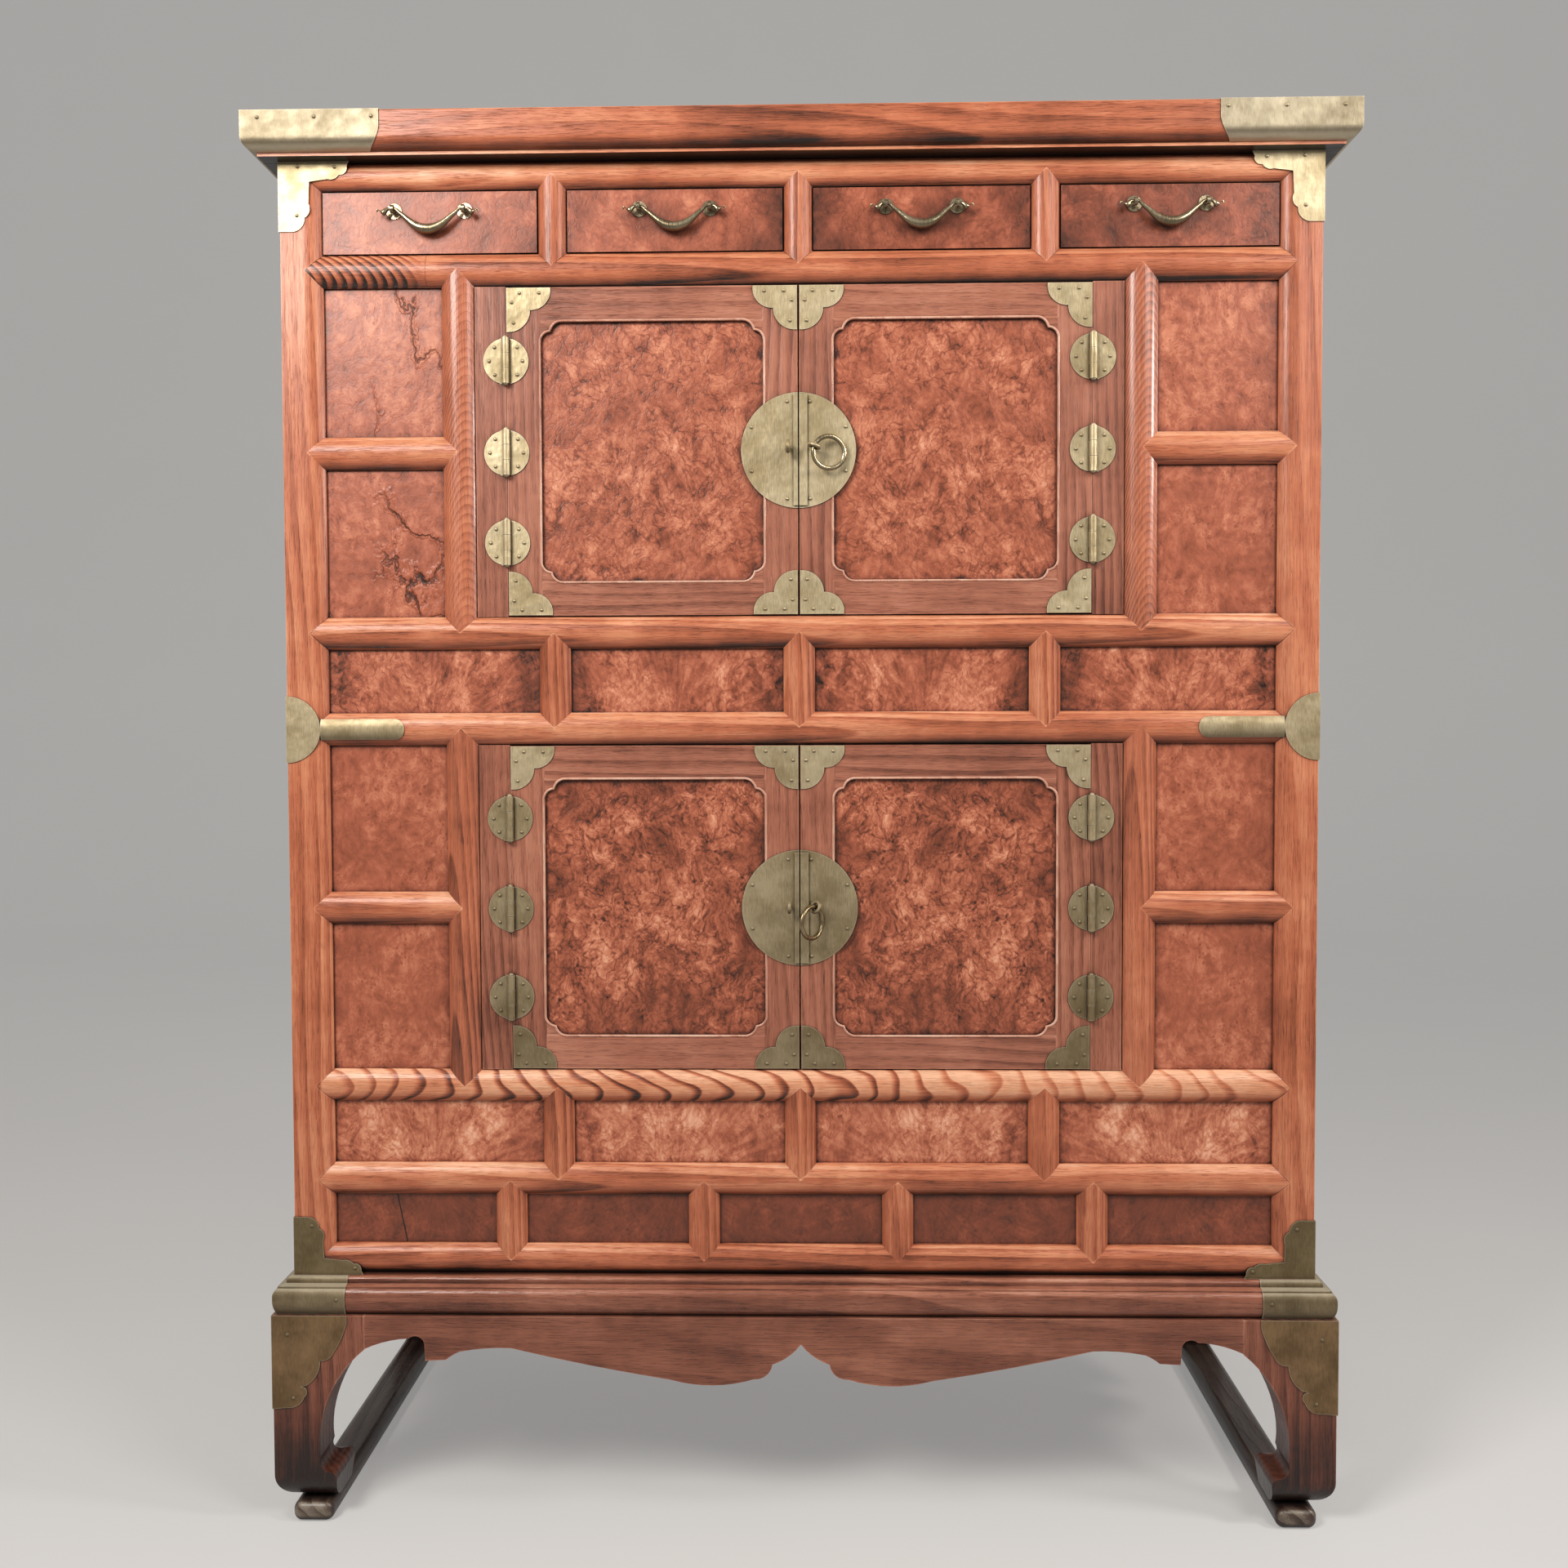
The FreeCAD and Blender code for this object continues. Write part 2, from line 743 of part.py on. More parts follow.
# The apron's lower edge from the leg to its middle, as shares of half its length and of its height
APRON_SHARES = [
    ((0.052, 0.385), (0.103, 0.338)),
    ((0.135, 0.36), (0.139, 0.463)),
    ((0.141, 0.672),),
    ((0.188, 0.658),),
    ((0.20, 0.60), (0.22, 0.532)),
    ((0.274, 0.483), (0.338, 0.476)),
    ((0.487, 0.686), (0.703, 0.937)),
    ((0.84, 0.998), (0.893, 0.922)),
    ((0.925, 0.84), (0.935, 0.70)),
    ((0.962, 0.62), (1.0, 0.40)),
]
APRON_START_SHARE = 0.504


def leg_outline(name, flip, spot, turned):
    """The leg's carved outline, thickened over the whole leg."""
    steps = shared(LEG_SHARES, leg_width, leg_height)
    return prism(name, (0, leg_height.value), steps, leg_width, spot, flip, turned)


def apron_outline(name, length, spot, turned):
    """An apron with its scalloped lower edge, mirrored about its middle."""
    half = length.value / 2
    depth = apron_height.value
    first_half = [tuple((u * half, -v * depth) for u, v in step) for step in APRON_SHARES]
    steps = [((0, -APRON_START_SHARE * depth),)] + first_half
    ends = [step[-1] for step in steps]
    for index in range(len(first_half), 0, -1):
        back = [(2 * half - ends[index - 1][0], ends[index - 1][1])]
        through = steps[index][:-1]
        steps.append(tuple([(2 * half - u, v) for u, v in through] + back))
    steps.append(((2 * half, 0),))
    return prism(name, (0, 0), steps, apron_thickness, spot, 1, turned)


legs = []
for side, sign in SIDES.items():
    for end, y_corner in (("front", front - stand_overhang), ("rear", rear + stand_overhang)):
        x_corner = edge_x(sign, -stand_overhang)
        face = leg_outline(f"{side}_{end}_leg_face", -sign,
                           (x_corner, front - stand_overhang if end == "front" else y_corner - leg_width,
                            runner_height), False)
        profile_x = x_corner + leg_width if sign < 0 else x_corner
        profile = leg_outline(f"{side}_{end}_leg_profile", 1 if end == "front" else -1,
                              (profile_x, y_corner, runner_height), True)
        legs.append(common(f"{side}_{end}_leg", [face, profile]))
node("stand_legs", legs)

front_apron_length = stand_width - 2 * leg_width
side_apron_length = stand_depth - 2 * leg_width
apron_left = leg_width - stand_overhang - half_width
apron_front = front - stand_overhang + leg_width
node("stand_aprons", [
    apron_outline("front_apron", front_apron_length, (apron_left, front - stand_overhang, stand_top), False),
    apron_outline("rear_apron", front_apron_length,
                  (apron_left, rear + stand_overhang - apron_thickness, stand_top), False),
    apron_outline("left_apron", side_apron_length,
                  (apron_thickness - stand_overhang - half_width, apron_front, stand_top), True),
    apron_outline("right_apron", side_apron_length,
                  (half_width + stand_overhang, apron_front, stand_top), True),
])

# Base moulding: one section, run along four sides and mitred at the corners

# The section from the body's face outward and down, as shares of its overhang and height
MOULDING_SHARES = [
    ((0.12, 1.0),),
    ((0.300, 0.959), (0.36, 0.87)),
    ((0.36, 0.82),),
    ((0.76, 0.77),),
    ((0.76, 0.73),),
    ((0.934, 0.640), (1.0, 0.52)),
    ((1.0, 0.38),),
    ((0.937, 0.181), (0.76, 0)),
]


def upright_diamond(name, middle, half_diagonal):
    """A square prism on end, whose faces are the mitre cuts of a corner."""
    item = doc.addObject("Part::Box", name)
    side = half_diagonal * ROOT_TWO
    bind(item, Length=side, Width=side, Height=moulding_height + 2 * overrun)
    x, y = middle
    return place(item, (x, y - half_diagonal, stand_top - overrun), (Vector(0, 0, 1), EIGHTH_TURN))


def moulding_length(name, wall, extra):
    """One mitred length of the moulding, grown outward by extra."""
    swell = as_size(extra).value
    steps = []
    for step in shared(MOULDING_SHARES, moulding_overhang, moulding_height):
        steps.append(tuple((u + swell, v) for u, v in step))
    reach = -moulding_reach.value
    steps = [((swell, moulding_height.value),)] + steps + [((reach, 0),)]
    across = wall in ("front", "rear")
    span = (body_width if across else body_depth) + 2 * moulding_overhang + 2 * extra
    out = moulding_overhang + extra
    spots = {
        "front": ((span / 2, front, stand_top), -1, (0, front - out)),
        "rear": ((span / 2, rear, stand_top), 1, (0, rear + out)),
        "left": ((-half_width, -span / 2, stand_top), -1, (-half_width - out, 0)),
        "right": ((half_width, -span / 2, stand_top), 1, (half_width + out, 0)),
    }
    spot, flip, middle = spots[wall]
    run = prism(f"{name}_run", (reach, moulding_height.value), steps, span, spot, flip, across)
    return common(name, [run, upright_diamond(f"{name}_mitre", middle, span / 2)])


moulding = {wall: moulding_length(f"{wall}_moulding", wall, 0) for wall in ("front", "rear", "left", "right")}
node("base_moulding", list(moulding.values()))

# Nails and hinges


def nail(name, spot, turn=(Vector(1, 0, 0), QUARTER_TURN)):
    """A domed nail head that faces the viewer, unless it is turned."""
    item = doc.addObject("Part::Sphere", name)
    item.Angle1 = 0
    bind(item, Radius=nail_radius)
    return place(item, spot, turn)


# Nails in a hinge leaf, as shares of its radius from the middle of the disc
HINGE_NAIL_SHARES = [(0.5, 0.6), (0.74, 0), (0.5, -0.6)]
# Heights of the hinges, as shares of the bay's height
HINGE_LEVEL_SHARES = [0.225, 0.498, 0.775]
plate_face = door_face - plate_thickness


def hinge_leaf(name, x, z, toward, thirds):
    """A half-round leaf with the knuckles that belong to it, bored for the pin."""
    clear = knuckle_radius + knuckle_play
    disc = rod(f"{name}_disc", (x, plate_face, z), "Y", hinge_radius, plate_thickness)
    low_x = x + clear if toward > 0 else x - hinge_radius - overrun
    width = hinge_radius + overrun - clear
    keep = block(f"{name}_keep", (low_x, plate_face - overrun, z - hinge_radius - overrun),
                 (width, plate_thickness + 2 * overrun, 2 * (hinge_radius + overrun)))
    parts = [common(f"{name}_half", [disc, keep])]
    share = 2 * hinge_radius / 3
    for third in thirds:
        low = z - hinge_radius + third * share + knuckle_play / 2
        tall = share - knuckle_play
        parts.append(rod(f"{name}_knuckle_{third}", (x, hinge_axis_y, low), "Z", knuckle_radius, tall))
        neck_x = x if toward > 0 else x - clear - overrun
        parts.append(block(f"{name}_neck_{third}", (neck_x, plate_face, low),
                           (clear + overrun, plate_thickness, tall)))
    bore_start = (x, hinge_axis_y, z - hinge_radius - overrun)
    bore = rod(f"{name}_bore", bore_start, "Z", pin_radius + pin_play, 2 * (hinge_radius + overrun))
    return cut(f"{name}_leaf", fuse(f"{name}_solid", parts), bore)


def hinge_nails(name, x, z, toward):
    nails = []
    for index, (u, v) in enumerate(HINGE_NAIL_SHARES):
        spot = (x + toward * u * hinge_radius, plate_face, z + v * hinge_radius)
        nails.append(nail(f"{name}_nail_{index}", spot))
    return nails


def hinge_pin(name, x, z):
    """A pin with a domed head over each end of the barrel."""
    shaft = rod(f"{name}_shaft", (x, hinge_axis_y, z - hinge_radius), "Z", pin_radius, 2 * hinge_radius)
    heads = []
    for end, sign in (("low", -1), ("high", 1)):
        head = doc.addObject("Part::Sphere", f"{name}_{end}_head")
        head.Angle1 = 0
        bind(head, Radius=pin_head_radius)
        flip = (Vector(1, 0, 0), 0 if sign > 0 else 2 * QUARTER_TURN)
        heads.append(place(head, (x, hinge_axis_y, z + sign * hinge_radius), flip))
    return fuse(name, [shaft] + heads)


fixed_hinges = []
fixed_nails = []

# Doors

# The lobed corner of a door's opening, as shares of lobe_width and lobe_height from the corner
LOBE_CUSP_SHARE = (0.44, 0.47)
LOBE_LOW_SHARE = (0.61, 0.14)
LOBE_HIGH_SHARE = (0.10, 0.66)
# Nails in a lock plate's half, as shares of its radius
LOCK_NAIL_SHARES = [(0.82, 0.40), (0.82, -0.36), (0.20, 0.84), (0.20, -0.84)]
# A door's corner bracket, as shares of its leg, and the nails in it
DOOR_BRACKET_SHARES = [((1.0, 0),), ((0.91, 0.335), (0.54, 0.50)), ((0.43, 0.81), (0, 0.99))]
BRACKET_NAIL_SHARES = [(0.12, 0.33), (0.30, 0.12), (0.745, 0.12), (0.16, 0.79)]


def opening_steps(width, height):
    """The outline of a door's opening, with two lobes that meet in a cusp at each corner."""
    a = lobe_width.value
    b = lobe_height.value
    corners = [(width, 0, -1, 1), (width, height, -1, -1), (0, height, 1, -1), (0, 0, 1, 1)]
    steps = []
    for index, (x, z, inward, upward) in enumerate(corners):
        low = (x + inward * a, z)
        low_through = (x + inward * LOBE_LOW_SHARE[0] * a, z + upward * LOBE_LOW_SHARE[1] * b)
        cusp = (x + inward * LOBE_CUSP_SHARE[0] * a, z + upward * LOBE_CUSP_SHARE[1] * b)
        high_through = (x + inward * LOBE_HIGH_SHARE[0] * a, z + upward * LOBE_HIGH_SHARE[1] * b)
        high = (x, z + upward * b)
        if index % 2 == 0:
            steps += [(low,), (low_through, cusp), (high_through, high)]
        else:
            steps += [(high,), (high_through, cusp), (low_through, low)]
    return steps


def door_bracket(name, x, z, inward, upward):
    """A corner bracket of two lobes that meet in a cusp."""
    outline = shared(DOOR_BRACKET_SHARES, bracket_leg, bracket_leg)
    steps = [tuple((u, upward * v) for u, v in step) for step in outline]
    return prism(name, (0, 0), steps, plate_thickness, (x, plate_face, z), inward)


def staple(name, x, z, axis):
    """An eye on a shank that stands on the plate; the eye's hole runs along the axis."""
    toward_plate = Vector(0, 1, 0) - axis * axis.y
    toward_plate.normalize()
    eye = doc.addObject("Part::Torus", f"{name}_eye")
    bind(eye, Radius1=eye_radius, Radius2=eye_wire)
    turn = FreeCAD.Rotation(Vector(0, 0, 1), axis)
    y = door_face - eye_reach
    place(eye, (x, y, z), (turn.Axis, math.degrees(turn.Angle)))
    foot = (x + toward_plate.x * eye_radius, y + toward_plate.y * eye_radius, z + toward_plate.z * eye_radius)
    shank = rod(f"{name}_shank", foot, "Y", eye_wire, plate_face - foot[1])
    return fuse(name, [eye, shank])


def ring(name, x, z, axis):
    """A ring that hangs through an eye, whose wire runs along the axis there."""
    toward = hanging_way(axis)
    item = doc.addObject("Part::Torus", name)
    bind(item, Radius1=ring_radius, Radius2=ring_wire)
    turn = FreeCAD.Rotation(Vector(0, 0, 1), axis.cross(toward))
    y = door_face - eye_reach
    spot = (x + toward.x * ring_radius, y + toward.y * ring_radius, z + toward.z * ring_radius)
    return place(item, spot, (turn.Axis, math.degrees(turn.Angle)))


# The way each ring's wire runs through its eye: turned from the door's face, then raised from the level
UPPER_WIRE_YAW = math.radians(14)
UPPER_WIRE_RISE = math.radians(69)
LOWER_WIRE_YAW = math.radians(230)
LOWER_WIRE_RISE = math.radians(20)


def wire_way(yaw, rise):
    level = math.cos(rise)
    return Vector(level * math.cos(yaw), level * math.sin(yaw), math.sin(rise))


def hanging_way(wire):
    """The way from the eye to the middle of a ring that hangs at rest on that wire."""
    way = wire * wire.z - Vector(0, 0, 1)
    way.normalize()
    return way


upper_wire = wire_way(UPPER_WIRE_YAW, UPPER_WIRE_RISE)
lower_wire = wire_way(LOWER_WIRE_YAW, LOWER_WIRE_RISE)
EYE_WAYS = {
    ("upper", "left"): Vector(1, 0, 0),
    ("lower", "left"): Vector(1, 0, 0),
    ("upper", "right"): upper_wire,
    ("lower", "right"): lower_wire,
}
PLATE_RADII = {"upper": upper_plate_radius, "lower": lower_plate_radius}


def door(bay, side):
    """One door with its panel and brasses, and the hinge leaves and nails of the stile beside it."""
    name = f"{bay}_{side}_door"
    sign = SIDES[side]
    inward = -sign
    base, height = BAYS[bay]
    axis_x = edge_x(sign, hinge_inset)
    width = half_width - hinge_inset - door_hinge_gap - door_meeting_gap / 2
    low_x = low_side(sign, hinge_inset + door_hinge_gap, width)
    low_z = base + door_end_gap
    tall = height - 2 * door_end_gap

    hole_x = low_x + door_frame_width
    hole_z = low_z + door_frame_width
    hole_width = width - 2 * door_frame_width
    hole_height = tall - 2 * door_frame_width
    steps = opening_steps(hole_width.value, hole_height.value)
    hole = prism(f"{name}_hole", (lobe_width.value, 0), steps, door_thickness + 2 * overrun,
                 (hole_x, door_face - overrun, hole_z))
    panel_face = door_face + door_panel_setback
    panel_corner = (hole_x - door_rebate, panel_face, hole_z - door_rebate)
    rebate = block(f"{name}_rebate", panel_corner,
                   (hole_width + 2 * door_rebate, door_thickness, hole_height + 2 * door_rebate))
    tool = fuse(f"{name}_window", [hole, rebate])
    bars = []
    far_x = low_x + width - door_frame_width
    for place_name, x, corner_x in (("left", low_x, hole_x), ("right", far_x, far_x - lobe_width)):
        bar = block(f"{name}_{place_name}_stile", (x, door_face, low_z),
                    (door_frame_width, door_thickness, tall))
        corners = [bar]
        for end, corner_z in (("low", hole_z), ("high", hole_z + hole_height - lobe_height)):
            corners.append(block(f"{name}_{place_name}_{end}_lobes", (corner_x, door_face, corner_z),
                                 (lobe_width, door_panel_setback, lobe_height)))
        whole = fuse(f"{name}_{place_name}_stile_whole", corners)
        bars.append(cut(f"{name}_{place_name}_stile_cut", whole, tool))
    for place_name, z in (("low", low_z), ("high", low_z + tall - door_frame_width)):
        bar = block(f"{name}_{place_name}_rail", (hole_x, door_face, z),
                    (hole_width, door_thickness, door_frame_width))
        bars.append(cut(f"{name}_{place_name}_rail_cut", bar, tool))
    node(f"{name}_frame", bars)
    node(f"{name}_panel", [block(f"{name}_board", panel_corner,
                                 (hole_width + 2 * door_rebate, door_panel_thickness,
                                  hole_height + 2 * door_rebate))])

    brasses = []
    for across, x in ((1, low_x + bracket_inset), (-1, low_x + width - bracket_inset)):
        for upward, z in ((1, low_z + bracket_inset), (-1, low_z + tall - bracket_inset)):
            tag = f"{name}_bracket_{'right' if across < 0 else 'left'}_{'high' if upward < 0 else 'low'}"
            brasses.append(door_bracket(tag, x, z, across, upward))
            for index, (u, v) in enumerate(BRACKET_NAIL_SHARES):
                spot = (x + across * u * bracket_leg, plate_face, z + upward * v * bracket_leg)
                brasses.append(nail(f"{tag}_nail_{index}", spot))
    for index, level in enumerate(HINGE_LEVEL_SHARES):
        z = base + level * height
        tag = f"{name}_hinge_{index}"
        brasses.append(hinge_leaf(f"{tag}_moving", axis_x, z, inward, [1]))
        brasses.extend(hinge_nails(f"{tag}_moving", axis_x, z, inward))
        fixed_hinges.append(hinge_leaf(f"{tag}_fixed", axis_x, z, sign, [0, 2]))
        fixed_hinges.append(hinge_pin(f"{tag}_pin", axis_x, z))
        fixed_nails.extend(hinge_nails(f"{tag}_fixed", axis_x, z, sign))
    node(f"{name}_brasses", brasses)

    middle = base + height / 2
    radius = PLATE_RADII[bay]
    edge = door_meeting_gap / 2
    disc = rod(f"{name}_lock_disc", (0, plate_face, middle), "Y", radius, plate_thickness)
    keep_x = edge if sign > 0 else -radius - overrun
    keep = block(f"{name}_lock_keep", (keep_x, plate_face - overrun, middle - radius - overrun),
                 (radius + overrun - edge, plate_thickness + 2 * overrun, 2 * (radius + overrun)))
    strip_width = right_strip_width if sign > 0 else left_strip_width
    strip_x = edge if sign > 0 else -edge - strip_width
    strip_half = radius - strip_thickness
    strip = block(f"{name}_lock_strip", (strip_x, plate_face - strip_thickness, middle - strip_half),
                  (strip_width, strip_thickness, 2 * strip_half))
    eye_x = right_eye_offset if sign > 0 else -left_eye_offset
    lock = [common(f"{name}_lock_half", [disc, keep]), strip,
            staple(f"{name}_staple", eye_x, middle + eye_height, EYE_WAYS[bay, side])]
    for index, (u, v) in enumerate(LOCK_NAIL_SHARES):
        lock.append(nail(f"{name}_lock_nail_{index}", (sign * u * radius, plate_face, middle + v * radius)))
    node(f"{name}_lock_plate", lock)


for bay in BAYS:
    for side in SIDES:
        door(bay, side)
for bay, wire in (("upper", upper_wire), ("lower", lower_wire)):
    base, height = BAYS[bay]
    node(f"{bay}_ring", [ring(f"{bay}_pull_ring", right_eye_offset, base + height / 2 + eye_height, wire)])

# Drawers

# The bail from its middle outward: shares of half the post spacing, of its drop and of its belly radius
BAIL_SHARES = [
    (0, 1, 1),
    (0.22, 0.93, 0.94),
    (0.45, 0.70, 0.74),
    (0.67, 0.36, 0.51),
    (0.84, 0.10, 0.37),
    (0.93, 0.0, 0.32),
    (1.0, 0.0, 0.32),
    (1.07, 0.0, 0.32),
    (1.17, 0.07, 0.50),
    (1.30, 0.17, 0.42),
    (1.44, 0.24, 0.10),
]
NECK_SHARE = 0.32


def bail(name, x, y, z):
    """A swallow bail: a thick belly between two thin necks, with a pointed wing outside each."""
    half = handle_spacing / 2
    stations = [(-u, v, w) for u, v, w in reversed(BAIL_SHARES[1:])] + BAIL_SHARES
    hoops = []
    for index, (u, v, w) in enumerate(stations):
        before = stations[max(index - 1, 0)]
        after = stations[min(index + 1, len(stations) - 1)]
        along = Vector((after[0] - before[0]) * half.value, 0, (before[1] - after[1]) * bail_drop.value)
        turn = FreeCAD.Rotation(Vector(0, 0, 1), along)
        hoop = doc.addObject("Part::Circle", f"{name}_hoop_{index}")
        bind(hoop, Radius=w * bail_belly_radius)
        hoops.append(place(hoop, (x + u * half, y, z - v * bail_drop), (turn.Axis, math.degrees(turn.Angle))))
    item = doc.addObject("Part::Loft", name)
    item.Sections = hoops
    item.Solid = True
    return item


def handle_post(name, x, y, z):
    """A stem that stands on a round back plate and ends in an eye for the bail."""
    rose_face = door_face - rose_thickness
    rose = rod(f"{name}_rose", (x, rose_face, z), "Y", rose_radius, rose_thickness)
    stem = rod(f"{name}_stem", (x, y, z), "Y", handle_stem_radius, rose_face - y)
    eye = rod(f"{name}_eye", (x - handle_eye_width / 2, y, z), "X", handle_eye_radius, handle_eye_width)
    reach = handle_stem_radius + overrun
    bore_radius = NECK_SHARE * bail_belly_radius + handle_eye_play
    bore = rod(f"{name}_bore", (x - reach, y, z), "X", bore_radius, 2 * reach)
    return [rose, cut(name, fuse(f"{name}_solid", [stem, eye]), bore)]


def drawer(number):
    """One drawer: its front, its box and its swinging handle."""
    name = f"drawer_{number}"
    start = row_bay_start("drawer_row", number - 1)
    bay_width = row_bay_width("drawer_row")
    low_x = start + drawer_gap
    width = bay_width - 2 * drawer_gap
    front_height = drawer_row_height - 2 * drawer_gap
    node(f"{name}_front", [block(f"{name}_face", (low_x, door_face, drawer_row_base + drawer_gap),
                                 (width, drawer_front_thickness, front_height))])
    box_start = door_face + drawer_front_thickness
    box_base = drawer_row_base + drawer_running_gap
    inside = width - 2 * drawer_wall
    inside_length = drawer_length - drawer_wall
    side_lengths = (drawer_wall, drawer_length, drawer_side_height)
    node(f"{name}_box", [
        block(f"{name}_left_side", (low_x, box_start, box_base), side_lengths),
        block(f"{name}_right_side", (low_x + width - drawer_wall, box_start, box_base), side_lengths),
        block(f"{name}_back", (low_x + drawer_wall, box_start + inside_length, box_base),
              (inside, drawer_wall, drawer_side_height)),
        block(f"{name}_bottom", (low_x + drawer_wall, box_start, box_base),
              (inside, inside_length, drawer_floor)),
    ])
    middle = start + bay_width / 2
    y = door_face - handle_reach
    z = drawer_row_base + handle_rise
    posts = []
    for side, sign in SIDES.items():
        posts += handle_post(f"{name}_{side}_post", middle + sign * handle_spacing / 2, y, z)
    node(f"{name}_handle_posts", posts)
    node(f"{name}_bail", [bail(f"{name}_swallow_bail", middle, y, z)])


for number in range(1, ROWS["drawer_row"][2] + 1):
    drawer(number)

# Brass mounts of the carcass, each wrapped round its corner

# Outlines as shares of a mount's arm and drop, from its outer corner
BRACKET_SHARES = [
    ((1.0, 0),),
    ((0.97, 0.07),),
    ((0.94, 0.17), (0.86, 0.19)),
    ((0.80, 0.245), (0.70, 0.25)),
    ((0.43, 0.285),),
    ((0.415, 0.60),),
    ((0.43, 0.71), (0.36, 0.80)),
    ((0.31, 0.94), (0.15, 1.0)),
    ((0, 1.0),),
]
LEG_PLATE_SHARES = [
    ((1.0, 0),),
    ((1.0, 0.08),),
    ((0.94, 0.22), (0.82, 0.395)),
    ((0.75, 0.46), (0.64, 0.48)),
    ((0.61, 0.60), (0.45, 0.745)),
    ((0.37, 0.76),),
    ((0.45, 0.80), (0.42, 0.87)),
    ((0.35, 0.95), (0.19, 0.985)),
    ((0, 1.0),),
]
# Nails in each mount, as shares of its arm and drop
BRACKET_NAIL_PLACES = [(0.27, 0.07), (0.80, 0.08), (0.25, 0.77)]
LOW_BRACKET_NAIL_PLACES = [(0.25, 0.85), (0.88, 0.12)]
LEG_PLATE_NAIL_PLACES = [(0.2, 0.2), (0.27, 0.88)]


def wrapped_mount(name, side, shares, arm, drop, face_y, edge, level, upward):
    """A plate that goes round a front corner, with the same outline on the front and on the side."""
    sign = SIDES[side]
    steps = [tuple((u, upward * v) for u, v in step) for step in shared(shares, arm, drop)]
    on_front = prism(f"{name}_on_front", (0, 0), steps, plate_thickness,
                     (edge, face_y - plate_thickness, level), -sign)
    side_x = edge if sign < 0 else edge + plate_thickness
    on_side = prism(f"{name}_on_side", (0, 0), steps, plate_thickness, (side_x, face_y, level), 1, True)
    corner_x = edge - plate_thickness if sign < 0 else edge
    corner_z = level if upward > 0 else level - drop
    corner = block(f"{name}_corner", (corner_x, face_y - plate_thickness, corner_z),
                   (plate_thickness, plate_thickness, drop))
    return fuse(name, [on_front, on_side, corner])


def mount_nails(name, side, places, arm, drop, face_y, edge, level, upward):
    nails = []
    for index, (u, v) in enumerate(places):
        spot = (edge - SIDES[side] * u * arm, face_y - plate_thickness, level + upward * v * drop)
        nails.append(nail(f"{name}_nail_{index}", spot))
    return nails


post_mounts = []
leg_mounts = []
for side, sign in SIDES.items():
    edge = edge_x(sign, 0)
    kinds = (
        ("top", BRACKET_SHARES, top_bracket_arm, top_bracket_drop, body_top, -1,
         BRACKET_NAIL_PLACES),
        ("bottom", BRACKET_SHARES, top_bracket_arm, bottom_bracket_drop, body_base, 1,
         LOW_BRACKET_NAIL_PLACES),
    )
    for kind, shares, arm, drop, level, upward, places in kinds:
        name = f"{side}_{kind}_mount"
        post_mounts.append(wrapped_mount(name, side, shares, arm, drop, front, edge, level, upward))
        fixed_nails.extend(mount_nails(name, side, places, arm, drop, front, edge, level, upward))
    stand_edge = edge_x(sign, -stand_overhang)
    stand_face = front - stand_overhang
    name = f"{side}_leg_mount"
    leg_mounts.append(wrapped_mount(name, side, LEG_PLATE_SHARES, leg_plate_width, leg_plate_drop, stand_face,
                                    stand_edge, stand_top, -1))
    fixed_nails.extend(mount_nails(name, side, LEG_PLATE_NAIL_PLACES, leg_plate_width, leg_plate_drop,
                                   stand_face, stand_edge, stand_top, -1))

    # The middle band: a half disc on the post, and a strap over the rail's round front
    level = rail_three_base + rail_height / 2
    skin_face = front - plate_thickness
    disc = rod(f"{side}_band_disc", (edge, skin_face, level), "Y", band_disc_radius, plate_thickness)
    keep = block(f"{side}_band_keep",
                 (low_side(sign, 0, band_disc_radius), skin_face - overrun, level - band_disc_radius),
                 (band_disc_radius, plate_thickness + 2 * overrun, 2 * band_disc_radius))
    on_front = common(f"{side}_band_front", [disc, keep])
    side_x = edge - plate_thickness if sign < 0 else edge
    side_disc = rod(f"{side}_band_side_disc", (side_x, front, level), "X", band_disc_radius, plate_thickness)
    side_keep = block(f"{side}_band_side_keep",
                      (side_x - overrun, skin_face, level - band_disc_radius),
                      (plate_thickness + 2 * overrun, band_disc_radius + plate_thickness,
                       2 * band_disc_radius))
    on_side = common(f"{side}_band_side", [side_disc, side_keep])
    post_mounts.append(fuse(f"{side}_band", [on_front, on_side]))
    radius = crown_radius(rail_height)
    strap_half = band_strap_width / 2
    strap_length = band_strap_end - band_disc_radius
    strap_x = low_side(sign, band_disc_radius, strap_length)
    outer = rod(f"{side}_strap_outer", (strap_x, front + radius, level), "X",
                radius + plate_thickness, strap_length)
    inner = rod(f"{side}_strap_inner", (strap_x - overrun, front + radius, level), "X",
                radius, strap_length + 2 * overrun)
    shell = cut(f"{side}_strap_shell", outer, inner)
    end_x = edge_x(sign, band_strap_end - strap_half)
    body = block(f"{side}_strap_body",
                 (low_side(sign, band_disc_radius, strap_length - strap_half), front - 2 * overrun,
                  level - strap_half),
                 (strap_length - strap_half, crown_rise + overrun, band_strap_width))
    end = rod(f"{side}_strap_end", (end_x, front - 2 * overrun, level), "Y", strap_half, crown_rise + overrun)
    post_mounts.append(common(f"{side}_strap", [shell, fuse(f"{side}_strap_outline", [body, end])]))
node("post_mounts", post_mounts)
node("leg_plates", leg_mounts)

# Corner caps on the top board and on the base moulding

# Nails in a board cap's front, as shares of its length
BOARD_CAP_NAIL_SHARES = [0.12, 0.53, 0.94]
# How high those nails are, as a share of the board's thickness
BOARD_CAP_NAIL_RISE_SHARE = 0.80
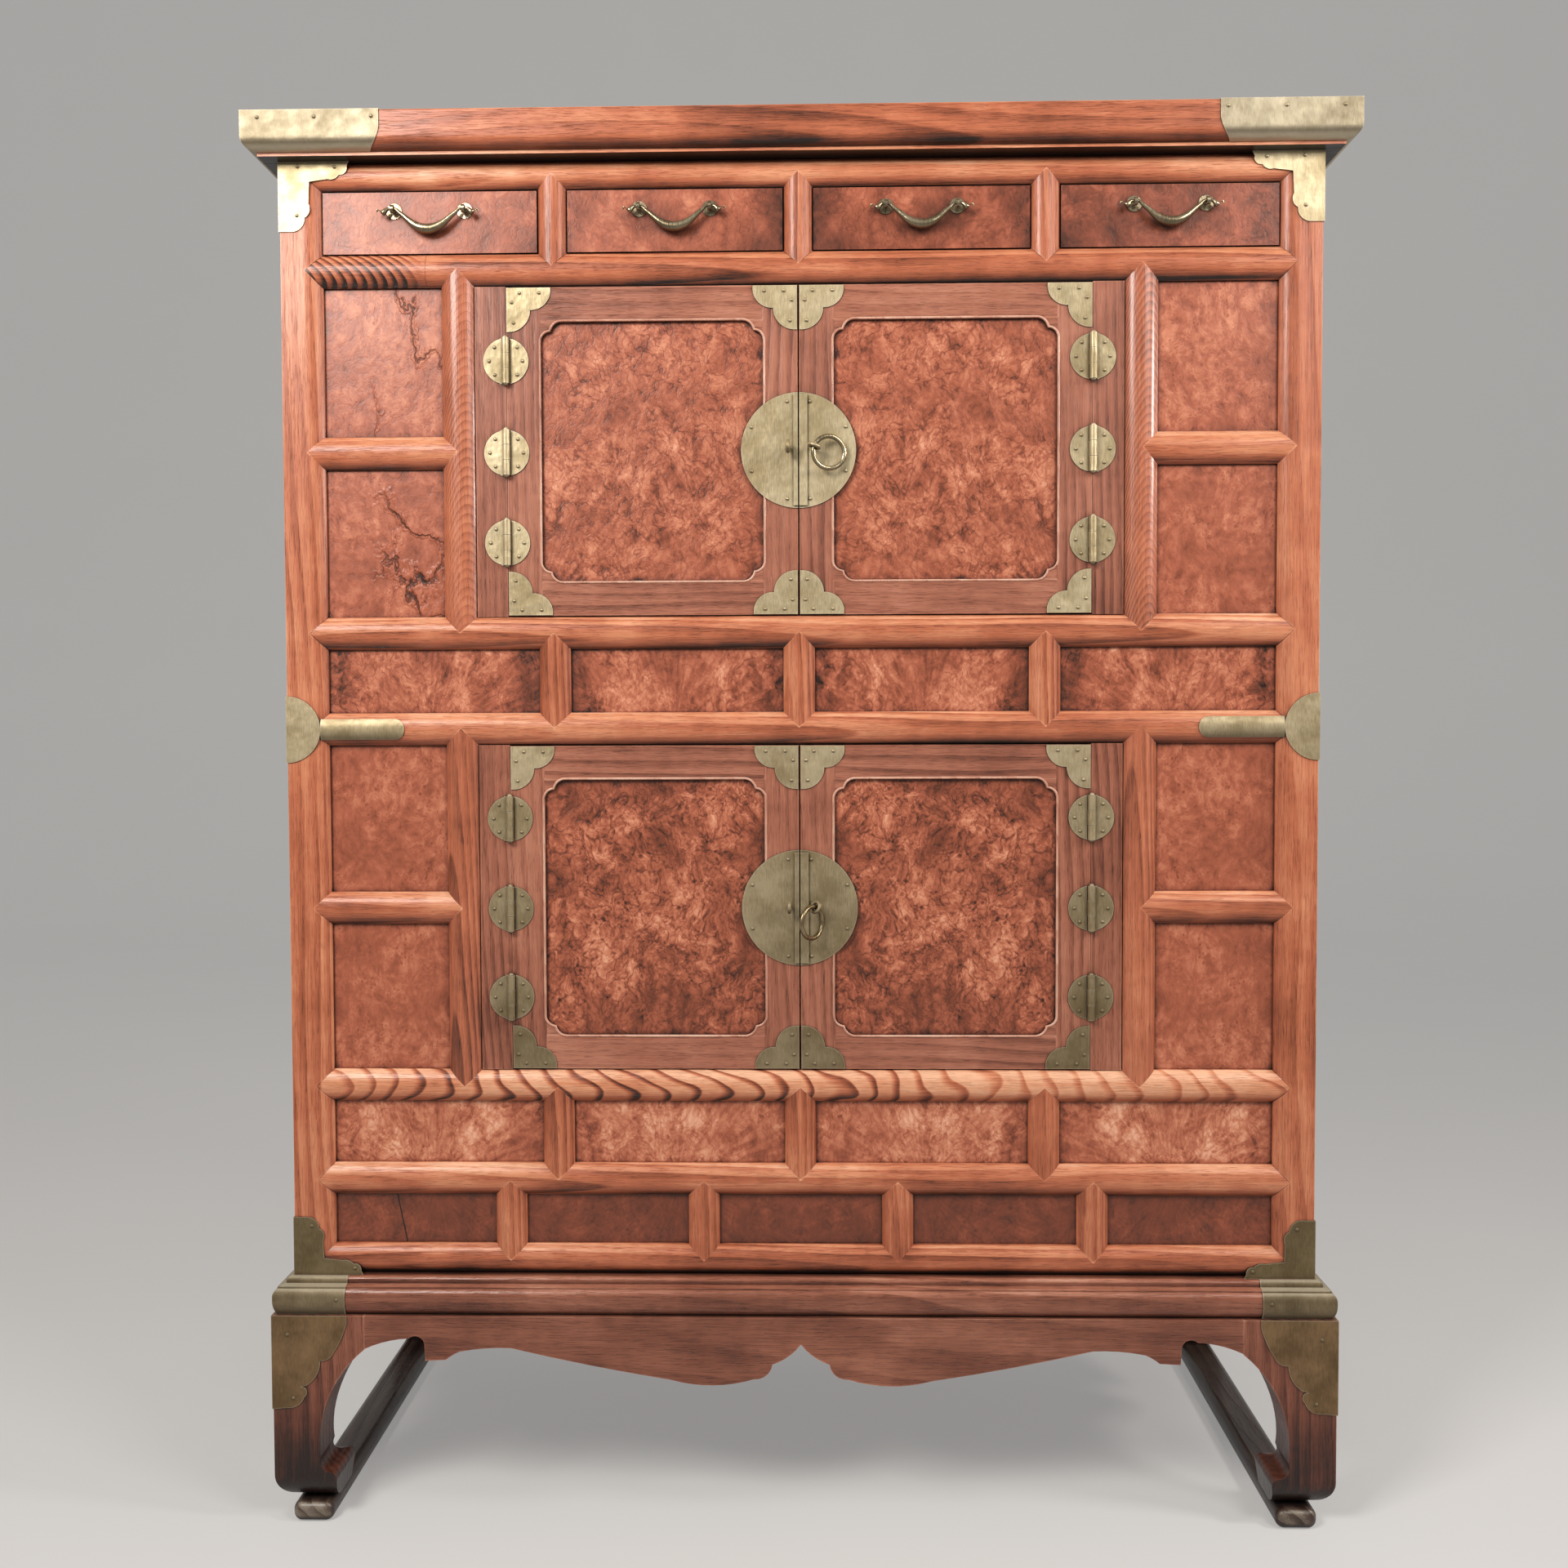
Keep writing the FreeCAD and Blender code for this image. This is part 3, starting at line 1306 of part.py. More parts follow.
# A board cap's inner end, from over the board to under it, as shares of its length and the thickness
CAP_END_SHARES = [((1.0, 1.1),), ((1.0, 0.55),), ((0.97, 0.22), (0.87, -0.1))]

grown_board = rounded_board("grown_board", top_board_width + 2 * plate_thickness,
                            top_board_depth + 2 * plate_thickness, board_thickness, (0, 0, board_base),
                            [(on_underside, board_under_round)])
caps = []
cap_steps = shared(CAP_END_SHARES, board_cap_length, board_thickness)
cap_steps = [((-overrun.value, cap_steps[0][0][1]),)] + cap_steps
for side, sign in SIDES.items():
    corner = edge_x(sign, -board_overhang - plate_thickness)
    low = corner - overrun if sign < 0 else corner - board_cap_length
    near = front - board_overhang - plate_thickness
    zone = fuse(f"{side}_board_cap_zone", [
        prism(f"{side}_board_cap_front", (-overrun.value, cap_steps[-1][-1][1]), cap_steps,
              board_under_round + overrun, (corner, near - overrun, board_base), -sign),
        block(f"{side}_board_cap_side",
              (low if sign < 0 else corner - board_under_round, near - overrun, board_base - overrun),
              (board_under_round + overrun, board_cap_length + overrun, board_thickness + 2 * overrun)),
    ])
    skin = cut(f"{side}_board_skin", grown_board, top_board)
    caps.append(common(f"{side}_board_cap", [skin, zone]))

    cap_front = moulding_length(f"{side}_cap_front", "front", plate_thickness)
    cap_side = moulding_length(f"{side}_cap_side", side, plate_thickness)
    out = moulding_overhang + plate_thickness
    corner = edge_x(sign, -out)
    low = corner - overrun if sign < 0 else corner - moulding_cap_length
    near = front - out
    zone = fuse(f"{side}_moulding_cap_zone", [
        block(f"{side}_moulding_cap_front_zone", (low, near - overrun, stand_top - overrun),
              (moulding_cap_length + overrun, out + overrun, moulding_height + 2 * overrun)),
        block(f"{side}_moulding_cap_side_zone",
              (low if sign < 0 else corner - out, near - overrun, stand_top - overrun),
              (out + overrun, moulding_cap_length + overrun, moulding_height + 2 * overrun)),
    ])
    skin = cut(f"{side}_moulding_skin", fuse(f"{side}_cap_whole", [cap_front, cap_side]),
               fuse(f"{side}_cap_core", [moulding["front"], moulding[side]]))
    caps.append(common(f"{side}_moulding_cap", [skin, zone]))
    for index, share in enumerate(BOARD_CAP_NAIL_SHARES):
        x = edge_x(sign, share * board_cap_length - board_overhang)
        z = board_base + board_thickness * BOARD_CAP_NAIL_RISE_SHARE
        spot = (x, front - board_overhang - plate_thickness, z)
        fixed_nails.append(nail(f"{side}_board_cap_nail_{index}", spot))
    x = edge_x(sign, moulding_nail_inset - moulding_overhang)
    fixed_nails.append(nail(f"{side}_moulding_cap_nail", (x, front - out, stand_top + moulding_nail_height)))
node("corner_caps", caps)
node("fixed_hinge_halves", fixed_hinges)
node("brass_nails", fixed_nails)

# Recompute, check and write

doc.recompute()
for item in doc.Objects:
    if "Invalid" in item.State or "Error" in item.State:
        raise RuntimeError(f"{item.Label} failed: {item.State}")
os.makedirs("parts", exist_ok=True)
for label, item in nodes.items():
    shape = item.Shape
    if shape.isNull() or not shape.isValid() or not shape.Solids:
        raise RuntimeError(f"{label} has no valid shape")
    shape.exportStep(os.path.join("parts", f"{label}.step"))
print(f"{len(nodes)} nodes, {sum(len(item.Shape.Solids) for item in nodes.values())} solids")
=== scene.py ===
# %% [markdown]
# # A two tier Korean clothes chest
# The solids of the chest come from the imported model: posts, rails, panels, doors, drawers and
# brasses. This script gives them their finishes, adds the fine beads that the solids leave out, and
# sets the studio. Everything is in metres, with the front towards -Y and the floor at zero.

# %% Load the solids
import math

import bmesh
import bpy
from mathutils import Matrix, Vector


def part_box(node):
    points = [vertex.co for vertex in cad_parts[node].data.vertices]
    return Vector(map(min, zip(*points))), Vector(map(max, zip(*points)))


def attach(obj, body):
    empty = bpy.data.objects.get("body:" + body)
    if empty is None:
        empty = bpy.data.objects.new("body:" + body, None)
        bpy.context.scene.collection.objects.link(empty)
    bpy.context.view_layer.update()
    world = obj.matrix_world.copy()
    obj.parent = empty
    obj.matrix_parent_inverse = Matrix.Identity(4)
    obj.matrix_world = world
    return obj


X, Y, Z = range(3)

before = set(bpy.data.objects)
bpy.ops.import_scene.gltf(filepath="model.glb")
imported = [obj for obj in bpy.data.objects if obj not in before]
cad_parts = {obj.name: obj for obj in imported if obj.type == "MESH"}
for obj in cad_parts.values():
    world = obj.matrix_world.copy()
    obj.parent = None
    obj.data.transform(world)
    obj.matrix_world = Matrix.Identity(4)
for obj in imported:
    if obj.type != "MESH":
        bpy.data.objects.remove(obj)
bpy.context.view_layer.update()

# %% [markdown]
# ## Arithmetic on sockets
# A wood or brass finish is worked out from position: stretched noise for grain, warped noise for
# burl. Written as plain sums, such as 1 - mask * 0.4, such a recipe reads like the idea behind it.
# One small class holds a socket and turns Python's signs into Math nodes, so each line of a recipe
# adds its own nodes.

# %% A number that a recipe works out


class Number:
    """One output socket that Python's signs can be used on."""

    def __init__(self, recipe, socket):
        self.recipe = recipe
        self.socket = socket

    def math(self, operation, *others):
        return self.recipe.add("ShaderNodeMath", {"operation": operation}, self, *others)

    def __add__(self, other):
        return self.math("ADD", other)

    __radd__ = __add__

    def __sub__(self, other):
        return self.math("SUBTRACT", other)

    def __rsub__(self, other):
        return self.recipe.add("ShaderNodeMath", {"operation": "SUBTRACT"}, other, self)

    def __mul__(self, other):
        return self.math("MULTIPLY", other)

    __rmul__ = __mul__

    def __truediv__(self, other):
        return self.math("DIVIDE", other)

    def __pow__(self, other):
        return self.math("POWER", other)

    def fraction(self):
        return self.math("FRACT")

    def size(self):
        return self.math("ABSOLUTE")

    def rise(self, low, high):
        """Goes smoothly from 0 at low to 1 at high."""
        settings = {"interpolation_type": "SMOOTHSTEP"}
        return self.recipe.add("ShaderNodeMapRange", settings, self, low, high)

    def past(self, edge, soft):
        """Is 0 before an edge and 1 past it, with a soft step between."""
        return self.rise(edge - soft, edge + soft)

    def inside(self, low, high, soft):
        """Is 1 between two edges and falls off softly outside them."""
        return self.past(low, soft) * (1 - self.past(high, soft))


# %% [markdown]
# ## Recipes and finishes
# All nodes go through one method, which takes the node's type, its settings and then its sockets,
# so a recipe needs no lines that wire nodes by hand. A finish is a recipe with one material and one
# Principled shader. The floor's paper and the world's light are written with the same methods.

# %% One way of adding nodes
MIX_SKIPS = [None] * 5  # a Mix node's sockets for numbers and vectors come before its colours


class Recipe:
    """Adds nodes to one node tree."""

    def __init__(self, tree):
        self.tree = tree

    def put(self, socket, value):
        if isinstance(value, Number):
            self.tree.links.new(value.socket, socket)
        elif value is not None:
            socket.default_value = value

    def add(self, kind, settings, *values, out=0, **named):
        """Adds a node: its settings first, then its sockets in order, then those by name."""
        node = self.tree.nodes.new(kind)
        for name, setting in settings.items():
            if name == "stops":
                self.fill_ramp(node.color_ramp, setting)
            else:
                setattr(node, name, setting)
        for index, value in enumerate(values):
            self.put(node.inputs[index], value)
        for name, value in named.items():
            self.put(node.inputs[name], value)
        return Number(self, node.outputs[out])

    @staticmethod
    def fill_ramp(ramp, stops):
        """Gives a colour ramp its stops, each a place and a colour."""
        while len(ramp.elements) < len(stops):
            ramp.elements.new(0.5)
        for element, (place, colour) in zip(ramp.elements, stops):
            element.position = place
            element.color = (*colour, 1)

    def place(self):
        """The point's place on the piece, in metres."""
        return self.add("ShaderNodeTexCoord", {}, out="Object")

    def vector(self, operation, *values):
        return self.add("ShaderNodeVectorMath", {"operation": operation}, *values)

    def axes(self, where):
        """The three parts of a place."""
        return [self.add("ShaderNodeSeparateXYZ", {}, where, out=axis) for axis in (X, Y, Z)]

    def point(self, x, y, z):
        return self.add("ShaderNodeCombineXYZ", {}, x, y, z)

    def scaled(self, where, factors):
        return self.vector("MULTIPLY", where, factors)

    def weighed(self, where, weights):
        """The place's three parts, each times a weight, added up."""
        settings = {"operation": "DOT_PRODUCT"}
        return self.add("ShaderNodeVectorMath", settings, where, weights, out="Value")

    def noise(self, where, detail=2, roughness=0.5):
        sockets = {"Vector": where, "Scale": 1, "Detail": detail, "Roughness": roughness}
        return self.add("ShaderNodeTexNoise", {}, **sockets)

    def drift(self, where, amount, scale, detail=2):
        """Moves a place about by noise, up to about half the amount each way."""
        sockets = {"Vector": where, "Scale": scale, "Detail": detail}
        shift = self.add("ShaderNodeTexNoise", {}, out="Color", **sockets)
        centred = self.vector("SUBTRACT", shift, (0.5, 0.5, 0.5))
        return self.vector("ADD", where, self.scaled(centred, (amount, amount, amount)))

    def tone(self, value, stops):
        """The colour that a value has along a ramp."""
        return self.add("ShaderNodeValToRGB", {"stops": stops}, value)

    def blend(self, factor, under, over, how="MIX"):
        """One colour over another."""
        settings = {"data_type": "RGBA", "blend_type": how}
        values = [factor, *MIX_SKIPS, under, over]
        return self.add("ShaderNodeMix", settings, *values, out=2)


# %% [markdown]
# Dirt stays in narrow corners, and hands wear the lacquer off sharp edges. The corners are also
# darkened as painted shade, and the edges lightened as a painted highlight. Both could be painted by
# place, but the Ambient Occlusion node finds them by itself: it says how open a point is, and turned
# inward it says how thick the wood under the point is.

# %% A material with one shader


class Finish(Recipe):
    """A recipe that feeds the Principled shader of a material of its own."""

    def __init__(self, name):
        self.material = bpy.data.materials.new(name)
        self.material.use_nodes = True
        super().__init__(self.material.node_tree)
        self.tree.nodes.clear()
        self.shader = self.tree.nodes.new("ShaderNodeBsdfPrincipled")
        self.shader.inputs["Specular IOR Level"].default_value = 0.35
        output = self.tree.nodes.new("ShaderNodeOutputMaterial")
        self.tree.links.new(self.shader.outputs["BSDF"], output.inputs["Surface"])

    def facing_up(self):
        """Goes from -1 on faces that look down to 1 on faces that look up."""
        return self.axes(self.add("ShaderNodeTexCoord", {}, out="Normal"))[Z]

    def crevice(self, reach):
        """Goes from 0 in the open to 1 in narrow corners, which are darkened for dirt and as painted
        shade.
        """
        settings = {"samples": 4}
        openness = self.add("ShaderNodeAmbientOcclusion", settings, Distance=reach, out="AO")
        return 1 - openness.rise(0.42, 0.88)

    def arris(self, reach):
        """Goes from 0 on flat faces to 1 along sharp outer edges."""
        settings = {"samples": 4, "inside": True, "only_local": True}
        depth = self.add("ShaderNodeAmbientOcclusion", settings, Distance=reach, out="AO")
        return 1 - depth.rise(0.35, 0.85)

    def relief(self, height, depth):
        """Turns a height in shares of a depth, in metres, into the surface's small bumps."""
        normal = self.add("ShaderNodeBump", {}, Strength=1, Distance=depth, Height=height)
        self.put(self.shader.inputs["Normal"], normal)

    def look(self, **values):
        for name, value in values.items():
            self.put(self.shader.inputs[name.replace("_", " ")], value)


def dress(nodes, finish):
    """Gives solids a finish."""
    for name in nodes:
        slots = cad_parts[name].data.materials
        slots.clear()
        slots.append(finish.material)
    print(finish.material.name, "on", len(nodes), "nodes")


def ending(*ends):
    """The names of the solids that end in one of these words."""
    return [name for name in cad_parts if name.endswith(ends)]


# %% [markdown]
# ## Lacquered timber
# The frame is of an open-grained hardwood under a thin red-brown lacquer. A tree's rings are sheets
# that lean a little against the bar, so a ring number is a sum of the place's parts, each with a
# weight in rings a metre, plus slow noise. Its fraction draws the rings, and where the bar is
# rounded they close into long loops by themselves. Fine pores are a second noise, stretched far
# more along the grain.

# %% A recipe for timber
RING_WARP = 5
RING_START = 0.20
DIRT_AND_SHADE_REACH = 0.009
WORN_AND_HIGHLIGHT_REACH = 0.0022
WOOD_RELIEF = 0.0006


def stretched(along, slow, fast):
    """Scale factors that are slow along the grain and fast across it."""
    return tuple(slow if axis == along else fast for axis in (X, Y, Z))


def timber(name, along, stops, lean, base=0.5, line=0.30, blotch=0.5, rough=0.37, coat=0.2,
           turn=None, figure=None, shade=None):
    """A lacquered timber whose grain runs along one axis."""
    wood = Finish(name)
    here = wood.place() if turn is None else turn(wood, wood.place())
    loose = wood.noise(wood.scaled(here, stretched(along, 1.6, 9)), 2, 0.45)
    field = wood.weighed(here, lean) + loose * RING_WARP
    uneven = wood.noise(wood.scaled(here, stretched(along, 3, 12)), 1)
    depth = uneven.rise(0.25, 0.75) * line + line * 0.2
    start = RING_START
    if figure is not None:
        field, depth, start = figure(wood, here, loose, field, depth)
    share = field.fraction()
    ring = share.rise(start, 0.90) - share.rise(0.90, 1.0)
    fibre = wood.noise(wood.scaled(here, stretched(along, 12, 520)), 3, 0.6)
    pore = wood.noise(wood.scaled(here, stretched(along, 60, 1900)), 1).rise(0.58, 0.70)
    cloud = wood.noise(wood.scaled(here, stretched(along, 5, 9)), 3, 0.6)
    grime = wood.noise(wood.scaled(here, (26, 26, 26)), 4, 0.65)
    value = base + (cloud - 0.5) * blotch + (fibre - 0.5) * 0.38 + (grime - 0.5) * 0.3
    dirt_and_shade = wood.crevice(DIRT_AND_SHADE_REACH)
    up = wood.facing_up()
    # Rings and pores darken the wood, and narrow corners are darkened for dirt and as painted shade.
    value = value - ring * depth - pore * ring * 0.10 - pore * 0.07 - dirt_and_shade * 0.50
    # Faces that look up get a painted highlight, and faces that look down get painted shade.
    value = value + up.rise(0.05, 0.8) * 0.22 - (0 - up).rise(0.15, 0.9) * 0.34
    # Sharp edges are lightened for worn lacquer and as a painted highlight.
    value = value + wood.arris(WORN_AND_HIGHLIGHT_REACH) * (cloud.rise(0.35, 0.6) * 0.3 + 0.10)
    if shade is not None:
        value = value - shade(wood, here)
    gloss = rough + (0.5 - fibre) * 0.25 + (grime - 0.5) * 0.2 + dirt_and_shade * 0.3
    wood.look(Base_Color=wood.tone(value, stops), Roughness=gloss)
    wood.look(Coat_Weight=coat, Coat_Roughness=0.2)
    wood.relief(fibre * 0.4 - ring * 0.3 - pore * 0.4 + cloud + grime * 0.4, WOOD_RELIEF)
    return wood


# Within this reach of a corner the wood is darkened for dirt and as painted shade.
print("dirt reaches", DIRT_AND_SHADE_REACH, "m out of a corner")

# %% [markdown]
# Two rails were sawn across a branch, which gives bold bands: diagonal at the left of rail one and
# like nested moons on rail four. The upper door posts have short slanting stripes. All the rails
# share one node and one finish, so a figure takes the usual ring number and its strength, and swaps
# in others inside a box of its own.

# %% Bold figures in some bars
MOON_RAIL = (0.444, 0.482)
SLANT_RAIL = (1.302, 1.340)
SLANT_END = -0.3885
UPPER_TIER = 0.845


def rail_figure(wood, here, loose, field, depth):
    """Bold bands on rail four and on the left of rail one."""
    x, y, z = wood.axes(here)
    moons = z.inside(*MOON_RAIL, 0.001)
    uneven = wood.noise(wood.scaled(here, (14, 14, 20)), 1) * 2.2
    bands = wood.weighed(here, (31, 74, 5)) + loose * 6 + uneven
    slant = z.inside(*SLANT_RAIL, 0.001) * (1 - x.past(SLANT_END, 0.0005))
    stripes = wood.weighed(here, (95, 120, 95)) + loose * 4
    field = field * (1 - moons) * (1 - slant) + bands * moons + stripes * slant
    bold = 0.60 - x.rise(0.05, 0.25) * 0.32 - (1 - x.rise(-0.50, -0.34)) * 0.25
    depth = depth * (1 - slant) + slant * 0.5
    quiet = (x - SLANT_END).size().rise(0, 0.03)
    return field, depth * (1 - moons) * quiet + moons * bold, RING_START + moons * 0.35


def post_figure(wood, here, loose, field, depth):
    """Short slanting stripes on the upper door posts."""
    upper = wood.axes(here)[Z].past(UPPER_TIER, 0.005)
    stripes = wood.weighed(here, (-140, 330, 105)) + loose * 5
    return field * (1 - upper) + stripes * upper, depth, RING_START


print("moons on the rail between", *MOON_RAIL)

# %% [markdown]
# Each rail ends in a point where it is mitred into the post, and the joint shows as a dark line.
# The line is drawn wherever the distance to a rail's middle and the distance to the chest's middle
# add up to the place of the point.

# %% Shades along the rails
RAIL_LEVELS = [0.3625, 0.463, 0.842, 0.943, 1.321]
MITRE_POINT = 0.515
MITRE_LINE = (0.0004, 0.0015)
RAIL_HALF = (0.0168, 0.0175)
BOTTOM_RAIL_TOP = 0.31
TOP_RAIL_FOOT = 1.36


def rail_shade(wood, here):
    """Dark mitres. Rail four is paler, the top rail gets painted light where the top board's shadow
    falls, and rail one and the last are darker.
    """
    x, y, z = wood.axes(here)
    level = (z - RAIL_LEVELS[0]).size()
    for other in RAIL_LEVELS[1:]:
        level = level.math("MINIMUM", (z - other).size())
    mitre = (MITRE_POINT - level - x.size()).size()
    joint = (1 - mitre.rise(*MITRE_LINE)) * (1 - level.rise(*RAIL_HALF)) * 0.5
    # The top rail is lightened as painted light, where the top board's shadow falls on it.
    pale = z.inside(*MOON_RAIL, 0.001) * 0.15 + z.past(TOP_RAIL_FOOT, 0.01) * 0.10
    dark = z.inside(*SLANT_RAIL, 0.001) * 0.07 + (1 - z.past(BOTTOM_RAIL_TOP, 0.01)) * 0.09
    return joint + dark - pale


print("mitred rails", len(RAIL_LEVELS))

# %% [markdown]
# A door's frame is one node, but the grain of its rails runs across, between the stiles. Two
# finishes would need two nodes, so the place itself is turned there: its x and z change over. The
# front and side lengths of the moulding and the aprons meet in mitres, where x and y change over.

# %% Turning the grain at the joints
DOOR_MIDDLE = 0.1535
DOOR_RAIL_HALF = 0.116
BODY_HALF = (0.540, 0.235)


def door_turn(wood, here):
    """Lays the grain along the doors' rails, between their stiles."""
    x, y, z = wood.axes(here)
    stile = (x.size() - DOOR_MIDDLE).size().past(DOOR_RAIL_HALF, 0.0001)
    return wood.point(x * stile + z * (1 - stile), y, z * stile + x * (1 - stile))


def mitred(wood, here):
    """Turns the grain at the mitred corners, so that it runs along the side lengths too."""
    x, y, z = wood.axes(here)
    side = ((x.size() - BODY_HALF[X]) - (y.size() - BODY_HALF[Y])).past(0, 0.0001)
    return wood.point(x * (1 - side) + y * side, y * (1 - side) + x * side, z)


print("mitres start at", *BODY_HALF)

# %% [markdown]
# Four colours of lacquer cover the timber: salmon on the main frame, mauve on the doors and the
# sides, smoked on the stand, and nearly black on the runners, where the black is painted shade and
# the grey top of the ramp is their bare ends. Each is a ramp from near black, for the dirt in the
# pores and for painted shade, to the palest wood, for wear and painted highlights. A plain mix of
# two colours would lose the red of the middle tones.

# %% Colours of the lacquer
SALMON_LACQUER = [
    (0.00, (0.012, 0.005, 0.003)),
    (0.12, (0.100, 0.026, 0.012)),
    (0.30, (0.270, 0.070, 0.030)),
    (0.52, (0.510, 0.149, 0.070)),
    (0.74, (0.720, 0.290, 0.150)),
    (0.96, (0.900, 0.500, 0.310)),
]
MAUVE_LACQUER = [
    (0.00, (0.012, 0.005, 0.004)),
    (0.12, (0.075, 0.024, 0.014)),
    (0.30, (0.200, 0.064, 0.037)),
    (0.53, (0.390, 0.140, 0.084)),
    (0.76, (0.540, 0.230, 0.148)),
    (0.96, (0.700, 0.360, 0.250)),
]
SMOKED_LACQUER = [
    (0.00, (0.012, 0.003, 0.001)),
    (0.12, (0.055, 0.015, 0.008)),
    (0.32, (0.150, 0.044, 0.023)),
    (0.56, (0.300, 0.104, 0.060)),
    (0.78, (0.460, 0.190, 0.118)),
    (0.96, (0.660, 0.360, 0.250)),
]
# The runners' ramp: its dark stops are painted shade, its grey top the colour of their bare ends.
SHADED_RUNNER_LACQUER = [
    (0.04, (0.010, 0.005, 0.004)),
    (0.40, (0.030, 0.013, 0.009)),
    (0.70, (0.090, 0.058, 0.042)),
    (0.95, (0.260, 0.210, 0.160)),
]
print("stops in the salmon ramp", len(SALMON_LACQUER))

# %% [markdown]
# Each run of the frame gets its own timber, because the grain follows the length of a bar and the
# rings lean another way in each. They lie closer in the rails than in the posts, and the door posts
# shine the most.

# %% Timber for the frame, the doors and the sides
dress(["front_rails", "panel_rails"],
      timber("rail_timber", X, SALMON_LACQUER, (2, 150, 55), base=0.61, line=0.26, blotch=0.8,
             figure=rail_figure, shade=rail_shade))
dress(["front_posts"],
      timber("post_timber", Z, SALMON_LACQUER, (45, 90, 2), base=0.60, line=0.18, blotch=0.6))
dress(["row_dividers"],
      timber("divider_timber", Z, SALMON_LACQUER, (90, 120, 3), base=0.58, line=0.26, blotch=0.6))
dress(["door_posts"],
      timber("door_post_timber", Z, SALMON_LACQUER, (90, 150, 3), base=0.53, line=0.24, coat=0.6,
             figure=post_figure))
dress(["hinge_stiles"],
      timber("hinge_stile_timber", Z, MAUVE_LACQUER, (110, 60, 3), line=0.18))
dress(ending("_door_frame"),
      timber("door_timber", Z, MAUVE_LACQUER, (80, 60, 2), base=0.56, line=0.18, blotch=0.6,
             turn=door_turn))
dress(["rear_posts"], timber("rear_post_timber", Z, MAUVE_LACQUER, (60, 90, 2)))
dress(["side_rails"], timber("side_rail_timber", Y, MAUVE_LACQUER, (150, 2, 60)))
dress(["side_panels"], timber("side_panel_timber", Z, MAUVE_LACQUER, (6, 55, 2)))
dress(["back_panels", "back_rails", "inner_boards", "drawer_guides", "door_stops"],
      timber("inner_timber", X, MAUVE_LACQUER, (2, 60, 60)))
dress(ending("_box"), timber("box_timber", Y, MAUVE_LACQUER, (60, 2, 60)))

# %% [markdown]
# The stand is smoked darker than the chest, and its legs get darker towards the floor. The runners
# are darkened a little as painted shade, and their bare ends have gone grey. The top board hangs
# over a thin board whose front edge gets a painted highlight, and everything under it gets painted
# shade.
# A shade is a small sum that one timber takes off its colour, so the recipe itself stays the same.

# %% Timber for the stand and the top
FOOT_SMOKE = (0.02, 0.20)
RUNNER_BARE = 0.25
THIN_BOARD = (1.4330, 1.4354)
THIN_BOARD_FOOT = 1.43255


def foot_shade(wood, here):
    """The legs get darker towards the floor."""
    return (1 - wood.axes(here)[Z].rise(*FOOT_SMOKE)) * 0.42


def runner_shade(wood, here):
    """The runners are bare and grey at their ends, and a little darker elsewhere as painted shade.
    """
    return 0.1 - wood.axes(here)[Y].size().past(RUNNER_BARE, 0.002) * 0.4


def board_shade(wood, here):
    """The thin board's front edge gets a painted highlight, and everything under it is painted
    nearly black as shade.
    """
    z = wood.axes(here)[Z]
    return (1 - z.past(THIN_BOARD_FOOT, 0.00025)) * 0.45 - z.inside(*THIN_BOARD, 0.0003) * 0.30


dress(["stand_legs"],
      timber("leg_timber", Z, SMOKED_LACQUER, (50, 90, 2), line=0.16, shade=foot_shade))
dress(["stand_aprons"],
      timber("apron_timber", X, SMOKED_LACQUER, (2, 60, 30), line=0.14, blotch=0.8, turn=mitred))
dress(["base_moulding"],
      timber("moulding_timber", X, SMOKED_LACQUER, (2, 60, 60), base=0.53, line=0.16, blotch=0.7,
             rough=0.30, turn=mitred))
dress(["floor_runners"],
      timber("runner_timber", Y, SHADED_RUNNER_LACQUER, (60, 2, 60), shade=runner_shade))
dress(["top_board"],
      timber("board_timber", X, SALMON_LACQUER, (2, 45, 60), base=0.48, line=0.18, blotch=0.8,
             shade=board_shade))

# %% [markdown]
# ## Burl
# The panels are of burl: clouds of red and orange with pale wisps, and dark eyes where small shoots
# grew. Noise that is itself moved about by noise gives the clouds, the ridges of another one give
# the folds, and cell noise on the same moved places gives the eyes. On some panels the wisps fan
# out from a point, which is noise on an angle and a reach instead of on x and z.

# %% Folds and fans


def fan(wood, across, up, count):
    """Places that run outward from a point, so that noise on them makes rays."""
    reach = (across * across + up * up) ** 0.5
    angle = up.math("ARCTAN2", across)
    return wood.point(angle * count, reach * 34, 0)


def folds(wood, where, scale, width):
    """Thin closed lines like the folds of crumpled paper: 1 on a line, 0 away from it."""
    hills = wood.noise(wood.scaled(where, (scale, scale, scale * 0.8)), 2, 0.55)
    return 1 - (hills - 0.5).size().rise(0, width)


# %% [markdown]
# In the upper left side panels thin seams of bark wander down the veneer. Their lips stand up a
# little, so a seam changes the height as well as the colour. The line is where a slow noise passes
# through its middle value, which never ends in the open as a drawn stroke would.

# %% Seams of bark
BARK_SIDE = (-0.440, -0.375)
BARK_FOOT = 0.96


def bark(wood, here, x, z, height):
    """Seams of bark with a raised lip, and the height that they change."""
    line = wood.noise(wood.drift(wood.scaled(here, (9, 9, 6)), 0.8, 3.5, 4), 1, 0.5)
    away = (line - 0.5).size()
    zone = x.inside(*BARK_SIDE, 0.016) * z.past(BARK_FOOT, 0.005)
    seam = (1 - away.rise(0.001, 0.009)) * zone
    lip = away.inside(0.008, 0.022, 0.006) * zone
    return seam, height + lip * 1.2 - seam * 1.6


print("bark between", *BARK_SIDE)

# %% [markdown]
# Facing panels were cut from one block and laid open like a book, so the places are mirrored about
# the middle of the chest: the size of x takes the place of x. One recipe serves all the panels, and
# its numbers say how coarse the cloud is, and how deep the folds, the flecks and the eyes are.

# %% A recipe for burl


